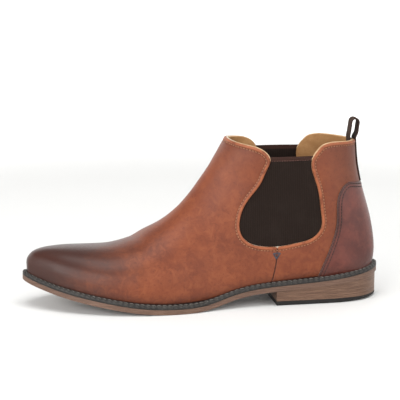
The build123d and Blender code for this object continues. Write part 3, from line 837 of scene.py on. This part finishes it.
calf = upper_leather()
burnished = heel_leather()
lining = lining_leather()
beige = edge_leather()
elastic = elastic_web()
tape = woven_tape()
upper_thread = thread("tan_thread", (0.17, 0.062, 0.027), (0.36, 0.17, 0.085))
foxing_thread = thread("dark_thread", (0.010, 0.0055, 0.0045), (0.030, 0.014, 0.010))
tack_thread = thread("slate_thread", (0.020, 0.024, 0.034), (0.075, 0.085, 0.105))
hem_thread = thread("russet_thread", (0.045, 0.017, 0.013), (0.105, 0.042, 0.031))
welt_thread = thread("grey_thread", (0.045, 0.042, 0.038), (0.140, 0.130, 0.116), 0.5)
charcoal = welt_leather()
sole_edge = sole_leather("brown_sole_edge", (0.078, 0.040, 0.026), (0.160, 0.092, 0.062))
stack_edge = sole_leather("stacked_heel", (0.082, 0.040, 0.024), (0.165, 0.092, 0.057), 1.2, 1900.0)
rubber = heel_rubber()

# ---- pattern outlines
opening = spline(TOP_LINE_FRONT + GORE_EDGE[1:] + TOP_LINE_BACK[1:])
seam = spline(SIDE_SEAM)[::-1]
meeting = int(np.argmin(np.linalg.norm(opening[:, None] - seam[None], axis=2).min(1)))
seam = seam[seam[:, 1] < opening[meeting, 1]]
seam_foot, opening_front = (SIDE_SEAM[-1][0], BELOW_Z), (TOP_LINE_FRONT[0][0], ABOVE_Z)
front_outline = np.vstack([
    [(FRONT_X, BELOW_Z), seam_foot], seam, opening[:meeting + 1][::-1], [opening_front, (FRONT_X, ABOVE_Z)],
])
back_outline = np.vstack([
    [(BACK_X, BELOW_Z), seam_foot], seam, opening[meeting:], [(BACK_X, opening[-1, 1])],
])
foxing_outline = np.vstack([
    spline(FOXING_FRONT), spline(FOXING_TOP)[1:],
    [(BACK_X, FOXING_TOP[-1][1]), (BACK_X, BELOW_Z), (FOXING_FRONT[0][0], BELOW_Z)],
])
gore_front, gore_back = TOP_LINE_FRONT[1][0] - 10, TOP_LINE_BACK[-2][0] - 8
in_gore = (opening[:, 0] > gore_front) & (opening[:, 0] < gore_back)
gore_opening = opening[(opening[:, 1] < GORE_TOP_Z) & in_gore]


def rounded(to_edge, radius=0.7):
    """Drop of a rounded edge."""
    d = np.clip(radius - to_edge, 0, radius)
    return np.sqrt(radius**2 - d**2) - radius


def bump_at(value, centre, half_width):
    t = np.clip(np.abs(value - centre) / half_width, 0, 1)
    return (1 - t * t) ** 2


def ripples(points, size):
    """Slow uneven waves of hand-lasted leather."""
    x, y, z = points.T
    wave = np.sin(x / 13 + 0.7 * np.sin(z / 17)) * np.sin(z / 15 + y / 23 + 1.1)
    wave += 0.6 * np.sin(x / 7.3 + z / 9.1 + 0.9 * np.sin(y / 11)) * np.sin(z / 8.7 - x / 21)
    return size * wave


def turned_edge(points, to_opening, to_edge):
    """Outer face of the leather: rolled over at the opening, pulled down by its stitching."""
    roll = 0.32 * bump_at(to_opening, 1.5, 1.7) - 0.30 * bump_at(to_opening, 3.3, 1.3)
    pucker = 0.10 * bump_at(to_opening, 5.5, 3.5) * np.sin(points[:, 0] * 0.9 + points[:, 2] * 1.1)
    return rounded(to_edge) + roll + pucker + ripples(points, 0.13)


# ---- upper
STITCH_ROW = 3.2  # in from the opening's edge
ROW_PITCH = 2.7
FOXING_ROWS = (1.5, 4.0)

LINING_WAVE, OVERLAY_WAVE = 0.08, 0.12
cuts = {"front": cut_piece(front_outline)}
cuts.update({name: cut_piece(back_outline, side) for name, side in SIDES.items()})
to_opening = {name: distance_from(cut[0][:, [0, 2]], opening) for name, cut in cuts.items()}
for name, cut in cuts.items():
    node = "vamp" if name == "front" else f"quarter_{name}"
    piece_name = "vamp_leather" if name == "front" else f"quarter_leather_{name}"
    face = turned_edge(cut[0], to_opening[name], cut[2])
    finish_piece(layered(piece_name, cut, face, -LEATHER, calf, to_opening[name]), [node])

for part, cut in (("vamp", cuts["front"]), ("quarter", cut_piece(back_outline))):
    inner_face = LINING_IN + ripples(cut[0], LINING_WAVE)
    piece = layered(f"{part}_lining_leather", cut, LINING_OUT, inner_face, lining)
    finish_piece(piece, [f"{part}_lining"])

foxing_cut = cut_piece(foxing_outline)
foxing_face = OVERLAY_OUT + rounded(foxing_cut[2], 0.8) - 0.25 * bump_at(foxing_cut[2], FOXING_ROWS[0], 0.9)
foxing_face = foxing_face - 0.22 * bump_at(foxing_cut[2], FOXING_ROWS[1], 0.9)
foxing_face = foxing_face + ripples(foxing_cut[0], OVERLAY_WAVE)
foxing_piece = layered("heel_foxing_leather", foxing_cut, foxing_face, 0.1, burnished)
finish_piece(foxing_piece, ["heel_foxing"])


# ---- elastic gores
RIB_PITCH = 0.8
HEM_Z = 123.6
HEM_HALF = 0.6
GORE_SPAN = (17.0, 108.0)
GORE_LOW_Z = 42.0


def gore(side_name, side):
    """A ribbed panel of elastic from under the leather's edge up to its woven top edge."""
    xs = np.arange(*GORE_SPAN, RIB_PITCH / 4)
    hem_rows = [HEM_Z + step for step in (-0.8, -0.3, 0, 0.3, 0.8, 1.7, 2.6, 3.1)]
    zs = np.concatenate([np.arange(GORE_LOW_Z, HEM_Z - 1.1, 2.0), hem_rows, [GORE_TOP_Z]])
    points, normals = [], []
    for z in zs:
        for x in xs:
            hit, normal = on_side(x, z, side)
            points.append(hit if hit is not None else (x, np.nan, z))
            normals.append(normal if normal is not None else (0, side, 0))
    points, normals = np.array(points), np.array(normals, float)
    faces = grid_faces(len(zs), len(xs), False)
    points, (normals,), faces = trimmed(points, [normals], faces, ~np.isnan(points[faces][:, :, 1]).any(1))
    corner = points[faces]
    if (np.cross(corner[:, 1] - corner[:, 0], corner[:, 2] - corner[:, 0])[:, 1] * side).mean() < 0:
        faces = faces[:, ::-1]
    inside = distance_inside(points[:, [0, 2]], gore_opening)
    points, (normals, inside), faces = kept_above(points, [normals, inside], faces, 1, 0.5 - GORE_TUCK, 0.05)
    x, z = points[:, 0], points[:, 2]
    hem = bump_at(z, HEM_Z, HEM_HALF)
    ribs = 0.07 * np.cos(2 * np.pi * x / RIB_PITCH)
    top_edge = rounded(GORE_TOP_Z - z, 0.5)
    slack = -0.5 * smooth_step(0, 12, inside) + 0.25 * np.sin(x / 9 + z / 14)
    slack = slack * smooth_step(-2, 6, inside)
    outer = ELASTIC_OUT - 0.12 + ribs * (1 - hem) - 0.22 * hem + top_edge + slack
    inner = ELASTIC_IN + 0.1 - ribs - top_edge + slack
    cut = points, normals, np.maximum(inside, 0), z - feather_z(x), faces
    piece = layered(f"gore_elastic_{side_name}", cut, outer, inner, elastic)
    finish_piece(piece, [f"gore_{side_name}"])


for side_name, side in SIDES.items():
    gore(side_name, side)


# ---- threads
THREAD_SIDES = 6
THREAD_SINK = 0.12
STRAP_SIDE, STRAP_FROM_X = STRAP_WIDTH / 2 + 1, 100


def thread_run(name, stitches, length, radius, material, replaces=(), sink=0.5):
    """Many short stitches in one piece, dipping at both ends. Each is a centre, a run and a way out."""
    profile = [(-1, 0), (-0.93, 0.6), (-0.7, 0.9), (-0.3, 1), (0.3, 1), (0.7, 0.9), (0.93, 0.6), (1, 0)]
    n = THREAD_SIDES
    turns = [2 * math.pi * k / n for k in range(n)]
    points, faces = [], []
    for centre, run, out in stitches:
        run = unit(run)
        out = unit(out - run * (out @ run))
        across = np.cross(run, out)
        base = len(points)
        for t, fat in profile:
            middle = centre + run * (t * length / 2) - out * (sink * radius * t * t * 2)
            if fat == 0:
                points.append(middle)
            else:
                points += [middle + radius * fat * (math.cos(a) * across + math.sin(a) * out) for a in turns]
        last = len(points) - 1
        faces += [(base, base + 1 + k, base + 1 + (k + 1) % n)[::-1] for k in range(n)]
        for r in range(len(profile) - 3):
            low, high = base + 1 + n * r, base + 1 + n + n * r
            faces += [(low + k, high + k, high + (k + 1) % n, low + (k + 1) % n)[::-1] for k in range(n)]
        faces += [(last, last - n + (k + 1) % n, last - n + k)[::-1] for k in range(n)]
    finish_piece(new_piece(name, points, faces, material), replaces)


def along_line(line, pitch, lift):
    """Stitch places at even pitch along a line on the surface, lifted off it, clear of the back strap."""
    both, _ = resample(np.hstack(line), pitch)
    middle, out = both[:, :3], unit(both[:, 3:])
    run = np.gradient(middle, axis=0)
    clear = (middle[:, 0] < STRAP_FROM_X) | (np.abs(middle[:, 1] - AXIS_Y) > STRAP_SIDE)
    return [(m + lift * o, r, o) for m, r, o, kept in zip(middle, run, out, clear) if kept]


for name, cut in cuts.items():
    places = along_line(iso_line(cut, to_opening[name], STITCH_ROW), ROW_PITCH, -THREAD_SINK)
    thread_run(f"opening_stitches_{name}", places, 2.0, 0.40, upper_thread)
for k, inset in enumerate(FOXING_ROWS):
    places = along_line(iso_line(foxing_cut, foxing_cut[2], inset), 2.6, OVERLAY_OUT - THREAD_SINK)
    thread_run(f"foxing_stitches_{k + 1}", places, 1.9, 0.44, foxing_thread)

# The tack is an arrowhead of satin stitches: two arms up from its foot, and a bar across their tops.
TACK_FOOT = np.array((58.2, 40.4))
TACK_TOP_Z = 45.0
tack = []
for arm_x, lean in ((55.6, 0.35), (61.2, -0.35)):
    for t in np.linspace(0.05, 1, 8):
        tack.append((TACK_FOOT * (1 - t) + np.array((arm_x, TACK_TOP_Z)) * t, (1.0, 0, lean)))
tack += [((x, TACK_TOP_Z), (0.25, 0, 1.0)) for x in np.linspace(56.2, 60.6, 6)]
hem_line = [((x, HEM_Z), (1.0, 0, 0)) for x in np.arange(51.5, 89.0, 2.2)]


def on_one_side(stitches, side, lift):
    """Side-view stitches placed on the surface."""
    hits = [(*on_side(x, z, side), run) for (x, z), run in stitches]
    return [(hit + lift * out, np.array(run), out) for hit, out, run in hits]


for side_name, side in SIDES.items():
    hem_places = on_one_side(hem_line, side, ELASTIC_OUT - 0.30)
    thread_run(f"gore_hem_stitches_{side_name}", hem_places, 1.9, 0.26, hem_thread)
    tack_places = on_one_side(tack, side, 0.2)
    tack_name, replaced = f"seam_tack_{side_name}", [f"bar_tack_{side_name}"]
    thread_run(tack_name, tack_places, 1.7, 0.30, tack_thread, replaces=replaced)


# ---- collar edge
COLLAR_LOW_Z = 121.5  # the beige edge shows above this
BEAD_RADIUS = 0.80
BEAD_IN = 2.10
BEAD_SIDES = 10


def bead(name, line):
    """A rounded bead along the collar part of a line on the surface."""
    both, _ = resample(np.hstack(line), 1.0)
    first, last = np.flatnonzero(both[:, 2] > COLLAR_LOW_Z)[[0, -1]]
    both = both[first:last + 1]
    out = unit(both[:, 3:])
    middle = both[:, :3] - BEAD_IN * out
    up = unit(np.cross(unit(np.gradient(middle, axis=0)), out))
    count, n = len(middle), BEAD_SIDES
    taper = np.minimum(1, np.minimum(np.arange(count), np.arange(count)[::-1]) / 3 + 0.15)[:, None]
    turns = [2 * math.pi * k / n for k in range(n)]
    rows = [middle + BEAD_RADIUS * taper * (1.25 * math.cos(a) * out + 0.8 * math.sin(a) * up) for a in turns]
    faces = []
    for i in range(0, (count - 1) * n, n):
        faces += [(i + k, i + (k + 1) % n, i + n + (k + 1) % n, i + n + k) for k in range(n)]
    faces += [tuple(range(n))[::-1], tuple((count - 1) * n + k for k in range(n))]
    piece = new_piece(name, np.stack(rows, 1).reshape(-1, 3), faces, beige)
    finish_piece(piece)


for name, cut in cuts.items():
    bead(f"collar_edge_{name}", iso_line(cut, to_opening[name], 0.15))


# ---- pull loop and back strap, one length of tape
TAPE_FOOT_Z, TAPE_TOP_Z, TAPE_STEP = 100.5, 137.0, 1.5


def loop_path():
    """Side-view centre line of the loop, up its outer leg, round its top and down its inner leg."""
    lean = math.radians(LOOP_LEAN)
    x0, z0 = LOOP_PIVOT

    def leaned(u, w):
        return x0 + u * math.cos(lean) + w * math.sin(lean), z0 - u * math.sin(lean) + w * math.cos(lean)

    bend = LOOP_DEPTH / 2 - TAPE_THICK / 2
    top = LOOP_HEIGHT - LOOP_DEPTH / 2
    legs = [LOOP_CLEAR + w for w in (1.0, 4.0, 7.0)]
    arc = [leaned(bend * math.cos(a), top + bend * math.sin(a)) for a in np.radians(np.arange(0, 181, 15))]
    return [leaned(bend, w) for w in legs] + arc + [leaned(-bend, w) for w in legs[::-1]]


def back_at(y, z, offset):
    """X of the heel's back surface, moved out by offset, at y and z."""
    hit, normal, _, _ = outer_tree.ray_cast(Vector((BEHIND, y, z)), Vector((-1, 0, 0)))
    out = np.array(normal) if normal.x > 0 else -np.array(normal)
    return hit.x + offset * out[0]


def pull_tape():
    """The tape from the foxing up the back, round the loop and down inside."""
    half = TAPE_THICK / 2
    columns = np.linspace(-1, 1, 15)
    ys = AXIS_Y + columns * STRAP_WIDTH / 2
    lines = []
    for y in ys:
        line = [(back_at(y, z, 0.1 + half), z) for z in np.arange(TAPE_FOOT_Z, TAPE_TOP_Z + 0.1, TAPE_STEP)]
        line += loop_path()
        downward = np.arange(TAPE_TOP_Z, TAB_BOTTOM_Z - 0.1, -TAPE_STEP)
        line += [(back_at(y, z, LINING_IN - 0.15 - half), z) for z in downward]
        lines.append(resample(spline(line, step=0.4), 0.8)[0])
    rows = min(len(line) for line in lines)
    even = np.linspace(0, 1, rows)
    shares = [np.linspace(0, 1, len(line)) for line in lines]
    centre = np.array([[np.interp(even, t, column) for column in line.T] for t, line in zip(shares, lines)])
    centre = centre.transpose(0, 2, 1)
    run = unit(np.gradient(centre, axis=1))
    out = np.stack([run[:, :, 1], -run[:, :, 0]], -1)
    selvedge = np.sqrt(np.clip(1 - np.abs(columns) ** 6, 0.08, 1))
    thick = (half * selvedge + 0.05 * np.cos(columns * math.pi * 6.5))[:, None, None]
    across = np.broadcast_to(ys[:, None], centre.shape[:2])

    def in_space(flat):
        return np.stack([flat[:, :, 0], across, flat[:, :, 1]], -1).reshape(-1, 3)

    faces = grid_faces(len(columns), rows, False)
    outer, inner = in_space(centre + out * thick), in_space(centre - out * thick)
    piece = two_sided("pull_tape", outer, inner, faces, tape)
    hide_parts("back_strap", "loop_tab", "pull_loop")
    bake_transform(piece)


pull_tape()

# ---- welt with wheeled stitches
STITCH_PITCH = 4.6
THREAD_LENGTH = 4.3
THREAD_INSET = 2.1
THREAD_SLANT = 0.34
UP = np.array((0, 0, 1.0))


def welt_band():
    """The welt all round, its outer rim wheeled with a slanting notch between each two stitches."""
    plan = spline(SOLE_PLAN, closed=True)
    path, reach = resample(plan, 0.75, closed=True)
    whole = reach[-1] + np.linalg.norm(path[0] - path[-1])
    count = round(whole / STITCH_PITCH)
    pitch = whole / count
    top = feather_z(path[:, 0]) - 0.1
    base = sole_z(path[:, 0]) + OUTSOLE_THICK + 0.1
    # Section from the rim's foot up and in: inset from the sole's edge, share of the height, depth of notch.
    section = [
        (0.1, 0.0, 0.0), (0.0, 0.12, 0.05), (0.0, 0.45, 0.18), (0.05, 0.68, 0.34), (0.35, 0.86, 0.50),
        (0.9, 0.97, 0.55), (1.6, 1.0, 0.55), (2.4, 1.0, 0.50), (3.2, 1.0, 0.35), (3.8, 0.99, 0.12),
        (4.3, 0.93, 0.0), (5.0, 0.93, 0.0), (8.0, 0.95, 0.0), (10.6, 0.95, 0.0), (10.8, 0.0, 0.0),
    ]
    columns, ridges = [], []
    for inset, share, notch in section:
        phase = 2 * np.pi * (reach + 0.75 * inset) / pitch
        dent = notch * (0.5 - 0.5 * np.cos(phase)) ** 1.6
        z = base + share * (top - base) - dent * (1 if share > 0.6 else 0.3)
        rim = moved_left(path, inset + dent * (0.7 if share < 0.95 else 0))
        columns.append(np.column_stack([rim, z]))
        ridges.append(np.where(notch > 0.1, 1 - dent / max(notch, 0.1), 0.2))
    rows, sides = len(path), len(section)
    vertices = np.stack(columns, 1).reshape(-1, 3)
    faces = []
    for i in range(rows):
        here, there = i * sides, (i + 1) % rows * sides
        for k in range(sides):
            m = (k + 1) % sides
            faces.append((here + m, there + m, there + k, here + k))
    piece = new_piece("welt_strip", vertices, faces, charcoal, {"ridge": np.stack(ridges, 1).reshape(-1)})
    sharp_at(piece, 60)
    finish_piece(piece, ["welt"])
    places = []
    spots = moved_left(path, THREAD_INSET)
    steps = np.roll(spots, -1, 0) - np.roll(spots, 1, 0)
    for n in range(count):
        at = (n * pitch) / whole * rows
        i = int(at) % rows
        share = at - int(at)
        spot = spots[i] * (1 - share) + spots[(i + 1) % rows] * share
        run = unit(steps[i])
        slanted = run - THREAD_SLANT * np.array((-run[1], run[0]))
        slope = (feather_z(spot[0] + 1) - feather_z(spot[0] - 1)) / 2
        centre = np.array((spot[0], spot[1], feather_z(spot[0]) + 0.02))
        places.append((centre, np.array((*slanted, slanted[0] * slope)), UP))
    replaced = ["welt_stitching"]
    thread_run("welt_stitches", places, THREAD_LENGTH, 0.46, welt_thread, replaced, 0.9)


welt_band()


# ---- inside: sock and heel pad
cavity_tree = surface_tree(LINING_IN - 0.1)


def inside_width(x, z):
    """Lateral and medial Y of the cavity's walls."""
    ends = []
    for side in (-1, 1):
        hit = cavity_tree.ray_cast(Vector((x, TOE_TIP_Y if x < -130 else AXIS_Y, z)), Vector((0, side, 0)))[0]
        ends.append(hit.y if hit else None)
    return ends


def footbed(name, x_low, x_high, material, slot, replaced, lift, thick, crown, side_gap):
    """A soft layer on the insole, filling the foot's width, with a rounded and slightly crowned top."""
    turn = np.linspace(0, math.pi / 2, 5)
    middle_xs = np.linspace(x_low + 3, x_high - 3, 90)
    xs = np.concatenate([x_low + 3 * (1 - np.cos(turn[:-1])), middle_xs, x_high - 3 + 3 * np.sin(turn[1:])])
    across = np.concatenate([[-1, -0.985, -0.95], np.linspace(-0.88, 0.88, 15), [0.95, 0.985, 1]])
    tops, bottoms = [], []
    for x in xs:
        z = feather_z(x) + INSOLE_THICK + lift
        low, high = inside_width(x, z + thick / 2)
        if low is None or high is None:
            continue
        middle, half = (low + high) / 2, (high - low) / 2 - side_gap
        ends = min(1.0, (x - x_low) / 2.0 + 0.15, (x_high - x) / 2.0 + 0.15)
        edge = np.sqrt(np.clip(1 - np.abs(across) ** 10, 0.0, 1)) * math.sqrt(max(0.05, min(1, ends)))
        y = middle + across * half
        swell = crown * (1 - across**2) * smooth_step(0, 14, min(x - x_low, x_high - x))
        rise = thick * (0.25 + 0.75 * edge) + swell
        tops.append(np.column_stack([np.full(len(y), x), y, z + rise]))
        bottoms.append(np.column_stack([np.full(len(y), x), y, np.full(len(y), z)]))
    faces = grid_faces(len(tops), len(across), False)[:, ::-1]
    piece = two_sided(name, np.vstack(tops), np.vstack(bottoms), faces, material)
    sharp_at(piece, 60)
    return finish_piece(piece, [replaced])


def sock_leather(name, dark, light):
    """Footbed leather in cloudy tones with darker flecks."""
    f = Finish(name, IOR=1.45)
    cloud = f.noise(30, 4, 0.6, 0.3)
    fleck = f.noise(480, 4, 0.7)
    f.tones(cloud, 0.32, 0.68, dark, light)
    f.stain(fleck, 0.5, 0.74, 0.35, dark)
    return f.done(Roughness=0.55 + fleck * 0.2, Normal=grained_skin(f, 1.3))


sock_finish = sock_leather("tan_sock", (0.26, 0.135, 0.058), (0.40, 0.225, 0.105))
pad_finish = sock_leather("brown_heel_pad", (0.10, 0.048, 0.024), (0.17, 0.085, 0.042))


def cad_span(node):
    """Front and back of a CAD node, in mm."""
    return [corner.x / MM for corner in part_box(node)]


low, high = cad_span("sock_liner")
sock_size = {"lift": 0.1, "thick": SOCK_THICK - 0.1, "crown": 0.25, "side_gap": 0.4}
footbed("sock_leather", low + 0.5, high - 0.5, sock_finish, "insole_leather", "sock_liner", **sock_size)
low, high = cad_span("heel_pad")
pad_size = {"lift": SOCK_THICK + 0.25, "thick": HEEL_PAD_THICK - 0.8, "crown": 1.0, "side_gap": 3.0}
pad = footbed("heel_cushion", low, high - 0.5, pad_finish, "foam", "heel_pad", **pad_size)


# ---- finishes of the CAD nodes that stay
kept = {
    "outsole": sole_edge,
    "heel_wedge": stack_edge,
    "heel_lift_1": stack_edge,
    "heel_lift_2": stack_edge,
    "heel_lift_3": stack_edge,
    "heel_top_piece": rubber,
    "heel_nails": bright_steel("nail_steel"),
    "shank": bright_steel("shank_steel"),
    "insole_board": fibre_board("insole_board", (0.23, 0.15, 0.085), (0.36, 0.25, 0.15), 220.0),
    "bottom_filler": fibre_board("cork_filler", (0.17, 0.10, 0.05), (0.38, 0.25, 0.14), 420.0, 0.85),
    "toe_puff": fibre_board("toe_stiffener", (0.42, 0.38, 0.32), (0.58, 0.54, 0.47), 300.0),
    "heel_counter": fibre_board("heel_stiffener", (0.30, 0.22, 0.15), (0.44, 0.34, 0.24), 300.0),
    "vamp_interlining": fibre_board("cotton_interlining", (0.48, 0.42, 0.33), (0.62, 0.56, 0.46), 700.0),
    "quarter_interlining": fibre_board("cotton_backing", (0.48, 0.42, 0.33), (0.62, 0.56, 0.46), 700.0),
}
for node_name, finish in kept.items():
    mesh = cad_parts[node_name].data
    mesh.materials.clear()
    mesh.materials.append(finish)


# ---- studio
def studio():
    """A white floor that turns up into a round wall, bright away from the boot, and soft lamps."""
    f = Finish("studio_white", Specular_IOR_Level=0.3, Emission_Strength=0.85)
    tone = f.noise(3.0, 2, 0.5)
    f.base = f.mix(tone * 0.3, (0.70, 0.70, 0.69), (0.66, 0.66, 0.65))
    away = (f.x * f.x + f.y * f.y) ** 0.5
    glow = f.mix(f.step(away, 0.55, 1.25), (0.0, 0.0, 0.0), (1.0, 1.0, 1.0))
    paper = f.done(Roughness=0.62 + tone * 0.05, Emission_Color=glow)
    flat, bend, wall_top, turns = 1.6, 0.9, 1.6, 64
    section = [(0.0, 0.0), (0.6, 0.0), (flat, 0.0)]
    for a in np.radians(np.arange(10, 91, 10)):
        section.append((flat + bend * math.sin(a), bend - bend * math.cos(a)))
    section += [(flat + bend, wall_top)]
    vertices, faces = [], []
    for reach, height in section:
        for k in range(turns):
            a = 2 * math.pi * k / turns
            vertices.append((reach * math.cos(a), reach * math.sin(a), height))
    for i in range(len(section) - 1):
        for k in range(turns):
            j = (k + 1) % turns
            faces.append((i * turns + k, (i + 1) * turns + k, (i + 1) * turns + j, i * turns + j))
    floor = new_piece("studio_floor", np.array(vertices) / MM, faces, paper)
    floor.location.z = -0.0002

    world = bpy.data.worlds.new("studio")
    world.use_nodes = True
    surround = world.node_tree.nodes["Background"].inputs
    surround["Color"].default_value = (1, 1, 1, 1)
    surround["Strength"].default_value = 0.36
    bpy.context.scene.world = world

    def lamp(name, place, aim, size, power, height=None):
        data = bpy.data.lights.new(name, "AREA")
        data.shape, data.size, data.size_y, data.energy = "RECTANGLE", size, height or size, power
        light = bpy.data.objects.new(name, data)
        bpy.context.scene.collection.objects.link(light)
        light.location = place
        light.rotation_euler = (Vector(aim) - Vector(place)).to_track_quat("-Z", "Y").to_euler()

    lamp("overhead", (-0.05, -0.25, 1.30), (0, 0, 0.05), 1.0, 14)
    lamp("front_left", (-0.75, -1.25, 0.70), (0, 0, 0.05), 0.55, 6)
    lamp("left_strip", (-1.25, -0.70, 0.40), (0.03, 0, 0.09), 0.22, 6.0, 0.9)
    lamp("low_left", (-0.62, -0.75, 0.04), (-0.10, 0, 0.03), 0.5, 1.2, 0.08)
    lamp("right_strip", (0.85, -0.75, 0.55), (0.05, 0, 0.07), 0.25, 3.5, 0.9)


def camera():
    """Seen from the lateral side, a little from the front and above, through a long lens."""
    target = Vector((0, -0.00075, 0.060))
    azimuth, elevation, distance = math.radians(-9.3), math.radians(12.2), 1.5
    level = math.cos(elevation)
    back = Vector((math.sin(azimuth) * level, -math.cos(azimuth) * level, math.sin(elevation)))
    data = bpy.data.cameras.new("camera")
    data.sensor_width, data.lens = 36.0, 158.76
    data.shift_x, data.shift_y = -0.0055, 0.0764
    seat = bpy.data.objects.new("camera", data)
    bpy.context.scene.collection.objects.link(seat)
    seat.location = target + back * distance
    seat.rotation_euler = (-back).to_track_quat("-Z", "Y").to_euler()
    bpy.context.scene.camera = seat


studio()
camera()
bpy.context.scene.view_settings.view_transform = "Standard"
